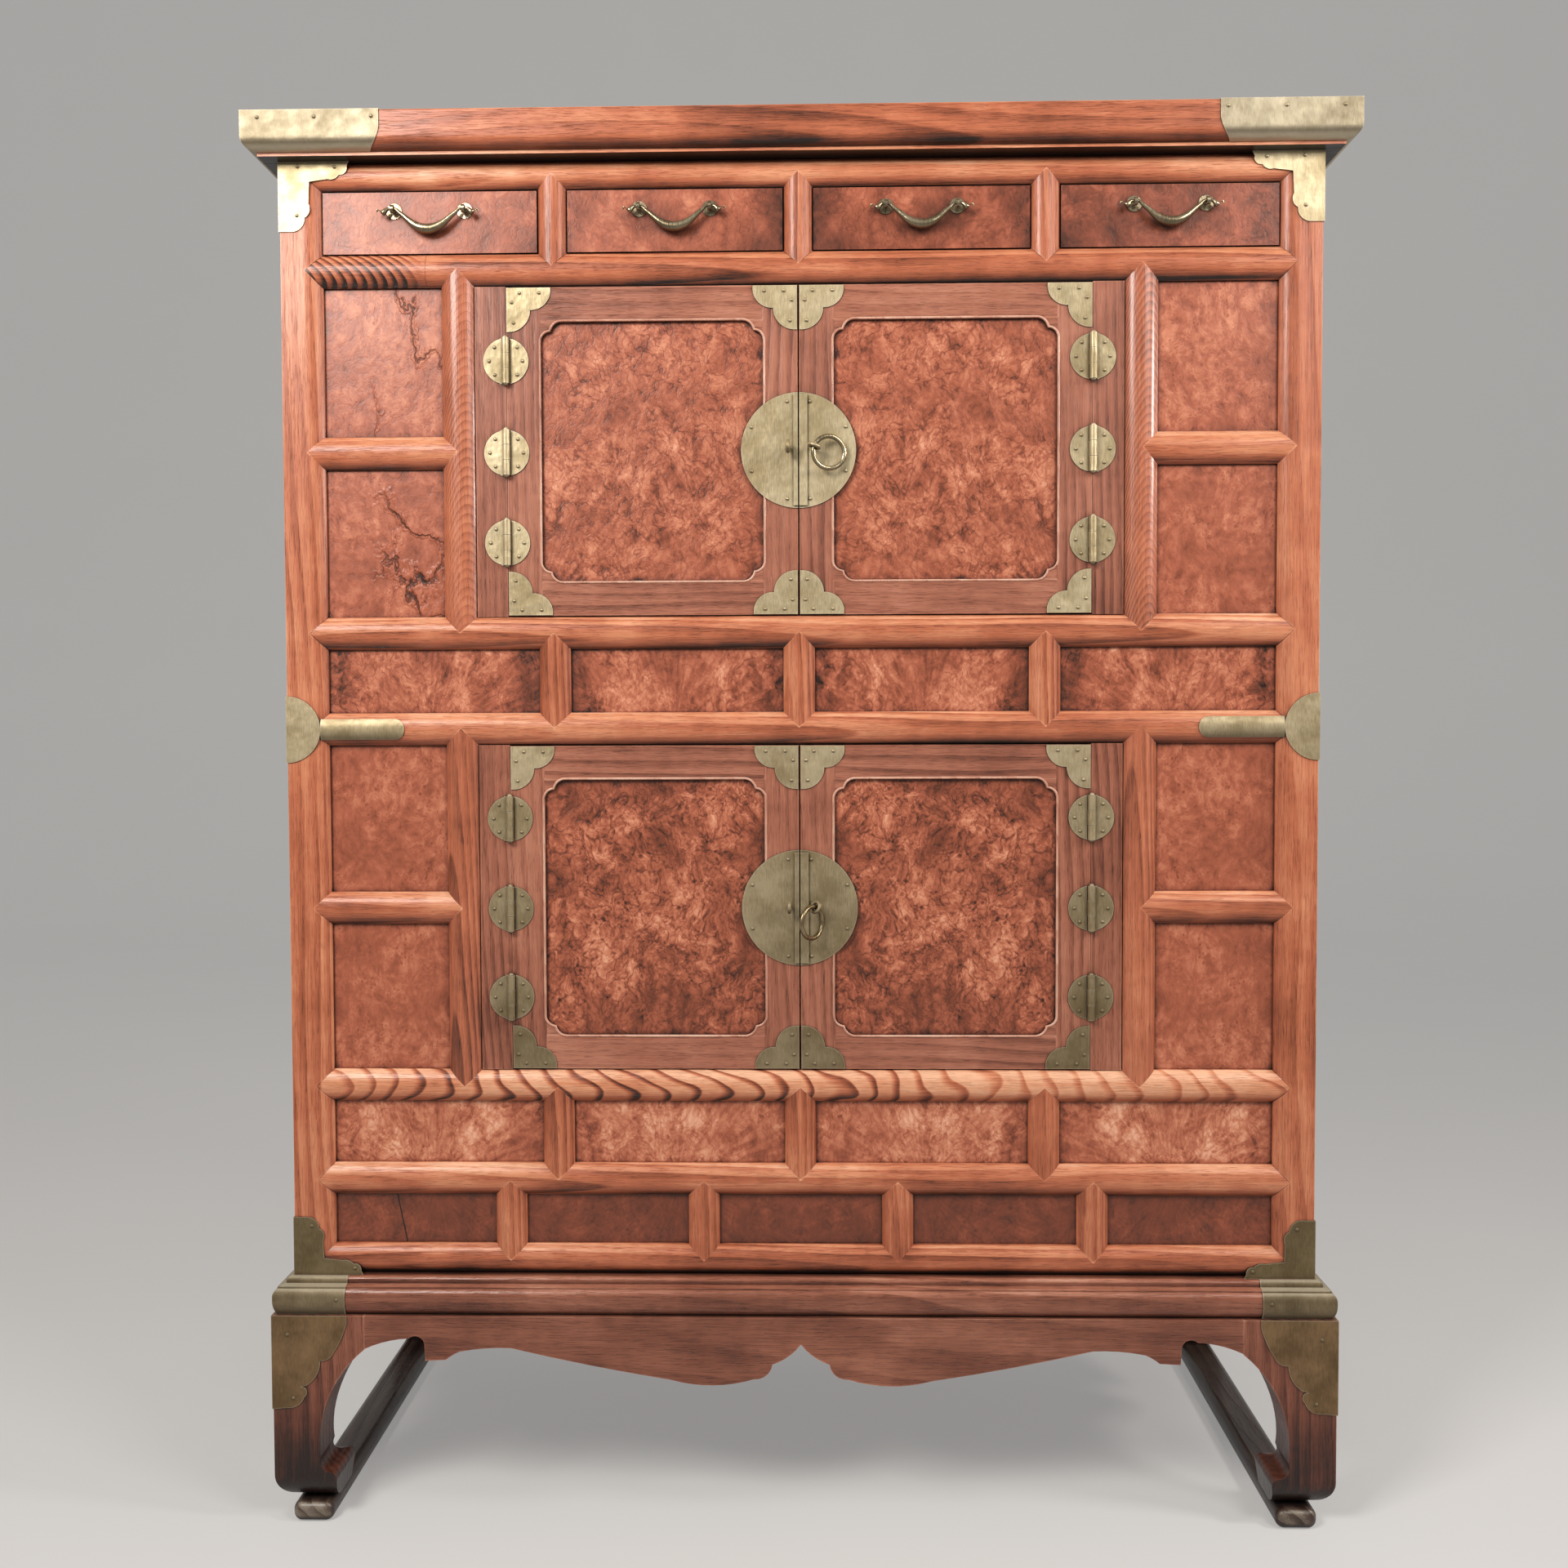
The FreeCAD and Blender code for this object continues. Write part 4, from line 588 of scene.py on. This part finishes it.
def burl(name, stops, base=0.50, cloud=70, patch=0.8, grain=1.0, fold=0.22, fleck=0.3, eyes=85,
         eye_depth=0.25, rays=None, shade=None, veins=0):
    """A mottled burl with folds and dark eyes, mirrored about the chest's middle."""
    wood = Finish(name)
    here = wood.place()
    x, y, z = wood.axes(here)
    book = wood.point(x.size(), y, z)
    moved = wood.drift(wood.drift(book, 0.03, 14, 2), 0.014, 36, 2)
    patches = wood.noise(wood.scaled(moved, (15, 15, 15)), 3, 0.55)
    calm = 1 - patches.rise(0.40, 0.56)
    mottle = wood.noise(wood.scaled(moved, (cloud, cloud, cloud * 0.75)), 3, 0.55)
    fine = wood.noise(wood.scaled(moved, (260, 260, 150)), 2, 0.6)
    grit = wood.noise(wood.scaled(here, (900, 900, 900)), 2, 0.6)
    creased = folds(wood, moved, 75, 0.06) * 0.6 + folds(wood, moved, 190, 0.09) * 0.4
    cells = wood.add("ShaderNodeTexVoronoi", {}, Vector=moved, Scale=eyes)
    eye = (1 - cells.rise(0.08, 0.26)) * (1 - calm)
    halo = cells.inside(0.26, 0.42, 0.08) * (1 - calm)
    value = base + (patches - 0.5) * patch + (mottle - 0.5) * grain * (1 - calm * 0.4)
    value = value + (fine - 0.5) * fleck + (grit - 0.5) * 0.14 - creased * fold * (1 - calm * 0.6)
    if rays is not None:
        count, strength, spot = rays
        rayed = wood.drift(fan(wood, *spot(x, z), count), 1.4, 0.8, 2)
        value = value + (wood.noise(rayed, 3, 0.55) - 0.5) * strength
    # Narrow corners are darkened for dirt and as painted shade.
    dirt_and_shade = wood.crevice(DIRT_AND_SHADE_REACH)
    value = value - eye * eye_depth + halo * eye_depth * 0.5 - dirt_and_shade * 0.5
    if shade is not None:
        value = shade(x, z, patches, value)
    height = mottle * 0.8 + fine * fleck * 0.5 - creased * fold
    if veins:
        crack, height = bark(wood, here, x, z, height)
        value = value - crack * veins
    gloss = 0.36 + (mottle - 0.5) * 0.2 + (grit - 0.5) * 0.15 + dirt_and_shade * 0.3
    wood.look(Base_Color=wood.tone(value, stops), Roughness=gloss)
    wood.look(Coat_Weight=0.12, Coat_Roughness=0.22)
    wood.relief(height, WOOD_RELIEF)
    return wood


RED_BURL = [
    (0.00, (0.016, 0.006, 0.004)),
    (0.12, (0.085, 0.026, 0.015)),
    (0.30, (0.225, 0.059, 0.030)),
    (0.50, (0.420, 0.119, 0.063)),
    (0.72, (0.640, 0.240, 0.135)),
    (0.96, (0.880, 0.470, 0.310)),
]
print("stops in the burl ramp", len(RED_BURL))

# %% [markdown]
# Some panels are darker towards their ends, where the veneer runs out into plain wood. A row's
# panels repeat at one pitch, so the place inside a panel is the fraction of x divided by that pitch,
# and one sum serves the whole row.

# %% Shades over the rows of panels
ROW_PITCH = 0.2609
DRAWER_PITCH = 0.2565
MIDDLE_ROW_FOOT = 0.835
BOTTOM_ROW_TOP = 0.365
SPLIT_AT = (-0.4275, 0.319)
DARKER_DRAWERS = (-0.35, 0.10)


def ends(x, pitch):
    """Goes from 0 at the middle of a panel to 1 at its ends."""
    return ((x / pitch).fraction() - 0.5).size() * 2


def row_shade(x, z, patches, value):
    """Dark ends in the rows, a plain smoked bottom row, and one split in its first panel."""
    middle = z.past(MIDDLE_ROW_FOOT, 0.005)
    bottom = 1 - z.past(BOTTOM_ROW_TOP, 0.005)
    value = value + (1 - middle) * 0.10
    end = (ends(x, ROW_PITCH) + (patches - 0.5) * 0.9).rise(0.60, 0.74)
    split = (x - SPLIT_AT[0] + (z - SPLIT_AT[1]) * 0.2).size()
    plain = value * 0.38 + 0.03
    value = (value - end * (middle * 0.12 + 0.10)) * (1 - bottom) + plain * bottom
    return value - (1 - split.rise(0.0004, 0.0009)) * bottom * 0.5


def drawer_shade(x, z, patches, value):
    """Grey-brown ends on the drawer fronts, and the fronts to the right are darker."""
    end = (ends(x, DRAWER_PITCH) + (patches - 0.5) * 0.8).rise(0.62, 0.85)
    return value - end * 0.16 - x.rise(*DARKER_DRAWERS) * 0.155


print("row pitch", ROW_PITCH, "drawer pitch", DRAWER_PITCH)

# %% [markdown]
# The fans' middles lie near the outer bottom corner of each upper door, and below each panel of the
# two rows. The rows share one finish, so the middle moves up by the distance between them for the
# upper one.

# %% Burl for each group of panels
DOOR_FAN_MIDDLE = (0.29, 0.93)
ROW_FAN_FOOT = 0.355
ROW_STEP = 0.4795
BETWEEN_ROWS = 0.605


def door_spot(x, z):
    """The place seen from the fan's middle on an upper door."""
    return x.size() - DOOR_FAN_MIDDLE[0], z - DOOR_FAN_MIDDLE[1]


def row_spot(x, z):
    """The place seen from a middle below each panel of the two rows."""
    across = ((x / ROW_PITCH).fraction() - 0.5) * ROW_PITCH
    return across, z - z.past(BETWEEN_ROWS, 0.005) * ROW_STEP - ROW_FAN_FOOT


dress(["upper_left_door_panel", "upper_right_door_panel"],
      burl("fan_burl", RED_BURL, base=0.53, cloud=60, patch=0.55, grain=0.8, fold=0.30,
           eye_depth=0.05, rays=(20, 0.55, door_spot)))
dress(["lower_left_door_panel", "lower_right_door_panel"],
      burl("eyed_burl", RED_BURL, base=0.46, patch=1.1, fold=0.34, eyes=100, eye_depth=0.16))
dress(["row_panels"],
      burl("row_burl", RED_BURL, base=0.55, cloud=55, eyes=80, eye_depth=0.12,
           rays=(14, 0.5, row_spot), shade=row_shade))
dress(["front_side_panels"],
      burl("side_burl", RED_BURL, base=0.51, cloud=90, patch=0.5, grain=0.7, fold=0.10, fleck=0.2,
           eyes=150, eye_depth=0.10, veins=0.3))
dress([f"drawer_{number}_front" for number in range(1, 5)],
      burl("drawer_burl", RED_BURL, base=0.535, cloud=50, patch=0.9, grain=0.7, fold=0.12,
           fleck=0.2, eye_depth=0.05, shade=drawer_shade))

# %% [markdown]
# ## Old brass
# The mounts are thin sheet brass, hammered flat and rubbed for a long time: pale khaki, with olive
# stains, fine scratches that run one way and small dents. Two browns are mixed by noise, then three
# layers go over them: age and painted shade towards the floor, tarnish and painted shade in the
# corners, and painted shade on faces that look down. Last, the edges that hands reach are rubbed
# bright, with a painted highlight on them as well.

# %% A recipe for brass
BRASS_DIRT_AND_SHADE_REACH = 0.004
BRASS_WORN_AND_HIGHLIGHT_REACH = 0.0012
AGED_AND_SHADED_HEIGHTS = (0.25, 1.15)
# Corner tarnish is patina and painted shade, the shaded colour is painted shade, the rubbed one wear
# and painted highlight.
TARNISH_AND_SHADE = (0.035, 0.024, 0.012, 1)
SHADED_BRASS = (0.10, 0.075, 0.045, 1)
RUBBED_AND_HIGHLIGHTED_BRASS = (0.80, 0.72, 0.54, 1)


def brass(name, dark, pale, shine, metallic, low=0.5, worn_and_highlight=0.5):
    """Aged sheet brass, duller towards the floor by age and painted shade, and with painted shade on
    faces that look down.
    """
    metal = Finish(name)
    here = metal.place()
    stain = metal.noise(metal.scaled(here, (30, 30, 30)), 5, 0.62)
    patch = metal.noise(metal.scaled(here, (9, 9, 9)), 2)
    scratch = metal.noise(metal.scaled(here, (900, 60, 130)), 2, 0.5)
    dents = metal.noise(metal.scaled(here, (60, 60, 60)), 2, 0.45)
    mix = (stain * 0.5 + patch * 0.35 + scratch * 0.22).rise(0.39, 0.69)
    dirt_and_shade = metal.crevice(BRASS_DIRT_AND_SHADE_REACH)
    under = (0 - metal.facing_up()).rise(0.02, 0.5)
    # Towards the floor the brass is darkened for age and as painted shade.
    aged_and_shaded = 1 - metal.axes(here)[Z].rise(*AGED_AND_SHADED_HEIGHTS)
    colour = metal.blend(mix, (*dark, 1), (*pale, 1))
    colour = metal.blend(aged_and_shaded, colour, (low, low * 0.90, low * 0.76, 1), "MULTIPLY")
    # Corners get tarnish, partly patina and partly painted shade.
    colour = metal.blend(dirt_and_shade * 0.92, colour, TARNISH_AND_SHADE)
    colour = metal.blend(under * 0.75, colour, SHADED_BRASS)
    # Sharp edges are rubbed bright, partly wear and partly a painted highlight.
    if worn_and_highlight:
        colour = metal.blend(metal.arris(BRASS_WORN_AND_HIGHLIGHT_REACH) * worn_and_highlight, colour, RUBBED_AND_HIGHLIGHTED_BRASS)
    gloss = shine + (0.5 - stain) * 0.3 + (scratch - 0.5) * 0.15 + dirt_and_shade * 0.25 + aged_and_shaded * 0.12
    metal.look(Base_Color=colour, Metallic=metallic, Roughness=gloss)
    metal.relief(dents + scratch * 0.06, 0.0012)
    return metal


# Below this height the brass is darkened for age and as painted shade.
print("brass ages below", AGED_AND_SHADED_HEIGHTS[1], "m")

# %% [markdown]
# The flat plates are dull, the corner caps greyer, and the leg plates brown. The rings and bails
# are cast, handled every day, and the shiniest. They are round, so they have no edge to rub bright
# or to give a painted highlight.

# %% Brass for the mounts
dress(ending("_door_brasses", "_lock_plate") + ["post_mounts", "fixed_hinge_halves", "brass_nails"],
      brass("plate_brass", (0.36, 0.28, 0.15), (0.67, 0.56, 0.36), 0.44, 0.5, low=0.33))
dress(["corner_caps"],
      brass("cap_brass", (0.25, 0.20, 0.12), (0.50, 0.43, 0.30), 0.50, 0.45))
dress(["leg_plates"],
      brass("leg_brass", (0.17, 0.115, 0.065), (0.34, 0.24, 0.14), 0.5, 0.6, low=0.8))
dress(["upper_ring", "lower_ring"],
      brass("ring_brass", (0.20, 0.15, 0.08), (0.62, 0.52, 0.33), 0.22, 0.9, worn_and_highlight=0))
dress(ending("_bail", "_handle_posts"),
      brass("bail_brass", (0.20, 0.155, 0.09), (0.60, 0.50, 0.33), 0.26, 0.85, worn_and_highlight=0))

# %% [markdown]
# ## Beads round the doors' openings
# Each opening has two lobes that meet in a cusp at every corner, and a thin raised bead follows its
# rim. The rim is drawn from the door's own box: a frame's width in from each edge, with two arcs at
# each corner. An arc is given by the three points that it passes through, because those can be seen
# on the real chest, and its middle can't.

# %% Arcs
ARC_STEPS = 8


def arc(start, through, end):
    """Points on the circle through three points, from the first up to just before the last."""
    (ax, az), (bx, bz), (cx, cz) = start, through, end
    d = 2 * (ax * (bz - cz) + bx * (cz - az) + cx * (az - bz))
    a, b, c = ax * ax + az * az, bx * bx + bz * bz, cx * cx + cz * cz
    middle = ((a * (bz - cz) + b * (cz - az) + c * (az - bz)) / d,
              (a * (cx - bx) + b * (ax - cx) + c * (bx - ax)) / d)
    radius = math.dist(middle, start)
    angles = [math.atan2(z - middle[1], x - middle[0]) for x, z in (start, end)]
    turn = (angles[1] - angles[0] + math.pi) % (2 * math.pi) - math.pi
    steps = [angles[0] + turn * step / ARC_STEPS for step in range(ARC_STEPS)]
    return [(middle[0] + radius * math.cos(angle), middle[1] + radius * math.sin(angle))
            for angle in steps]


print("points in a quarter", len(arc((1, 0), (math.sqrt(0.5), math.sqrt(0.5)), (0, 1))))

# %% [markdown]
# The shares below place the cusp and a point on each lobe inside the corner's small square, so one
# shape serves all four corners. At every other corner the way round is reversed.

# %% The lobed rim
LOBE = (0.024, 0.022)
CUSP_SHARE = (0.44, 0.47)
LOW_SHARE = (0.61, 0.14)
HIGH_SHARE = (0.10, 0.66)


def rim(low, high):
    """The lobed outline inside a door's frame, once round."""
    points = []
    corners = [(high[X], low[Z], -1, 1), (high[X], high[Z], -1, -1),
               (low[X], high[Z], 1, -1), (low[X], low[Z], 1, 1)]
    for index, (x, z, inward, upward) in enumerate(corners):
        def spot(share):
            return x + inward * share[0] * LOBE[0], z + upward * share[1] * LOBE[1]
        halves = [(spot((1, 0)), spot(LOW_SHARE), spot(CUSP_SHARE)),
                  (spot(CUSP_SHARE), spot(HIGH_SHARE), spot((0, 1)))]
        if index % 2:
            halves = [tuple(reversed(half)) for half in reversed(halves)]
        for half in halves:
            points += arc(*half)
        points.append(halves[-1][-1])
    return points


print("points round a rim", len(rim((0, 0, 0), (1, 0, 1))))

# %% [markdown]
# A bead is a curve with a round bevel, made a mesh at once, because a curve follows an outline
# without a seam at the cusps, where an extruded ring would pinch. It stands not quite a millimetre
# proud of the frame, rides on its door and has a paler, shinier lacquer: the bead's own pale wood,
# made paler still as a painted highlight.

# %% Beads
DOOR_FRAME = 0.0355
BEAD_RADIUS = 0.0014
BEAD_SUNK = 0.0005
# The bead's pale wood, lightened further as a painted highlight.
PALE_AND_HIGHLIGHTED_LACQUER = [
    (0.05, (0.30, 0.10, 0.06)),
    (0.50, (0.66, 0.33, 0.23)),
    (0.95, (0.86, 0.60, 0.46)),
]


def tube(name, points, y, radius, finish):
    """A thin round bead along a closed outline in an upright plane."""
    curve = bpy.data.curves.new(name, "CURVE")
    curve.dimensions = "3D"
    curve.bevel_depth = radius
    curve.bevel_resolution = 3
    path = curve.splines.new("POLY")
    path.points.add(len(points) - 1)
    for spline_point, (x, z) in zip(path.points, points):
        spline_point.co = (x, y, z, 1)
    path.use_cyclic_u = True
    drawn = bpy.data.objects.new(name + "_path", curve)
    item = bpy.data.objects.new(name, bpy.data.meshes.new_from_object(drawn))
    bpy.data.objects.remove(drawn)
    item.data.materials.append(finish.material)
    bpy.context.scene.collection.objects.link(item)
    return item


bead_timber = timber("bead_timber", Z, PALE_AND_HIGHLIGHTED_LACQUER, (40, 40, 30), line=0.2, blotch=0.9,
                     rough=0.22)
for door in ("upper_left_door", "upper_right_door", "lower_left_door", "lower_right_door"):
    low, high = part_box(f"{door}_frame")
    inner_low = [low[axis] + DOOR_FRAME - BEAD_RADIUS / 2 for axis in (X, Y, Z)]
    inner_high = [high[axis] - DOOR_FRAME + BEAD_RADIUS / 2 for axis in (X, Y, Z)]
    outline = rim(inner_low, inner_high)
    bead = tube(f"{door}_bead", outline, low[Y] + BEAD_SUNK, BEAD_RADIUS, bead_timber)
    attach(bead, door)
    print(bead.name, len(bead.data.polygons), "faces")

# %% [markdown]
# ## The studio
# A plain pale floor that curves up into a backdrop. A floor and a wall with a corner between them
# would show a line behind the chest, so one sheet is folded up and its fold is bevelled.

# %% Floor and backdrop
FLOOR_HALF = 6.0
BEND = 2.0
BEND_STEPS = 24
floor_mesh = bpy.data.meshes.new("studio_floor")
sheet = bmesh.new()
bmesh.ops.create_grid(sheet, x_segments=1, y_segments=1, size=FLOOR_HALF)
rear_edge = [edge for edge in sheet.edges if all(vert.co.y > 0 for vert in edge.verts)]
raised = bmesh.ops.extrude_edge_only(sheet, edges=rear_edge)["geom"]
raised_verts = [item for item in raised if isinstance(item, bmesh.types.BMVert)]
bmesh.ops.translate(sheet, verts=raised_verts, vec=(0, 0, FLOOR_HALF))
fold_edge = [edge for edge in sheet.edges
             if all(vert.co.y > 0 and vert.co.z == 0 for vert in edge.verts)]
bmesh.ops.bevel(sheet, geom=fold_edge, affect="EDGES", offset=BEND, offset_type="OFFSET",
                segments=BEND_STEPS, profile=0.5, material=-1)
for face in sheet.faces:
    face.smooth = True
sheet.to_mesh(floor_mesh)
sheet.free()
floor = bpy.data.objects.new("studio_floor", floor_mesh)
bpy.context.scene.collection.objects.link(floor)
print("floor", FLOOR_HALF * 2, "m across")

# %% [markdown]
# The floor shows paler to the camera, and in the brass, than it lights the chest. A paler paper or
# a stronger lamp would do that too, but either would wash out the lacquer. Light Path tells the
# rays apart, and only the rays that are seen get the paper's own faint glow.

# %% Paper for the floor
SEEN = ("Is Camera Ray", "Is Glossy Ray", "Is Transmission Ray")


def seen_rays(recipe):
    """Is 1 where the camera, a gloss or a glass sees a surface, and 0 where it lights others."""
    return sum(recipe.add("ShaderNodeLightPath", {}, out=ray) for ray in SEEN).math("MINIMUM", 1)


paper = Finish("studio_paper")
cast = paper.noise(paper.scaled(paper.place(), (2, 2, 2)), 2)
tint = paper.blend(cast, (0.50, 0.49, 0.475, 1), (0.54, 0.53, 0.515, 1))
glow = paper.blend(seen_rays(paper), (0, 0, 0, 1), (0.26, 0.255, 0.25, 1))
paper.look(Base_Color=tint, Roughness=0.9, Emission_Color=glow, Emission_Strength=1)
floor_mesh.materials.append(paper.material)
print(paper.material.name, "on the floor")

# %% [markdown]
# One large soft lamp stands high on the left and a weaker one on the right. A third, small one at
# the far right catches the rounded posts from the side. The world is an even pale grey.

# %% Lamps and world
AIR_LIGHT = 0.21
AIR_SEEN = 0.16


def lamp(name, where, aim, size, watts, colour):
    """A square soft lamp that faces a point."""
    data = bpy.data.lights.new(name, "AREA")
    data.size = size
    data.energy = watts
    data.color = colour
    item = bpy.data.objects.new(name, data)
    item.location = where
    item.rotation_euler = (Vector(aim) - Vector(where)).to_track_quat("-Z", "Y").to_euler()
    bpy.context.scene.collection.objects.link(item)
    print(name, watts, "W")


lamp("key_lamp", (-1.15, -1.75, 2.05), (-0.1, 0, 1.1), 0.8, 40, (1, 0.96, 0.91))
lamp("fill_lamp", (1.35, -1.6, 2.0), (0.2, 0, 1.15), 0.8, 17, (1, 0.96, 0.91))
lamp("side_lamp", (1.9, -0.75, 1.5), (0.3, -0.2, 1.15), 0.32, 14, (1, 0.97, 0.94))
world = bpy.data.worlds.new("studio_world")
world.use_nodes = True
air = Recipe(world.node_tree)
background = world.node_tree.nodes["Background"]
background.inputs["Color"].default_value = (1, 0.985, 0.96, 1)
air.put(background.inputs["Strength"], AIR_LIGHT + seen_rays(air) * AIR_SEEN)
bpy.context.scene.world = world
bpy.context.scene.view_settings.view_transform = "Standard"

# %% [markdown]
# ## The camera
# The photograph was taken from just under two metres away, at a little over half the chest's
# height, with the lens level to within about two degrees. Its field of view is that of a 36 mm lens
# on a square frame 36 mm wide.

# %% Camera
RIGHT = Vector((0.99975, 0.0224, -0.0034))
FORWARD = Vector((-0.02252, 0.9991, -0.03674))
UP = Vector((0.00258, 0.0368, 0.99932))
EYE = Vector((0.0208, -1.8781, 0.8438))
LENS = 36
FRAME_WIDTH = 36
camera_data = bpy.data.cameras.new("camera")
camera_data.lens = LENS
camera_data.sensor_width = FRAME_WIDTH
camera = bpy.data.objects.new("camera", camera_data)
bpy.context.scene.collection.objects.link(camera)
facing = Matrix((RIGHT, UP, -FORWARD)).transposed()
camera.matrix_world = Matrix.Translation(EYE) @ facing.to_4x4()
bpy.context.scene.camera = camera
print("camera", round(-EYE.y, 2), "m in front of the chest's middle")
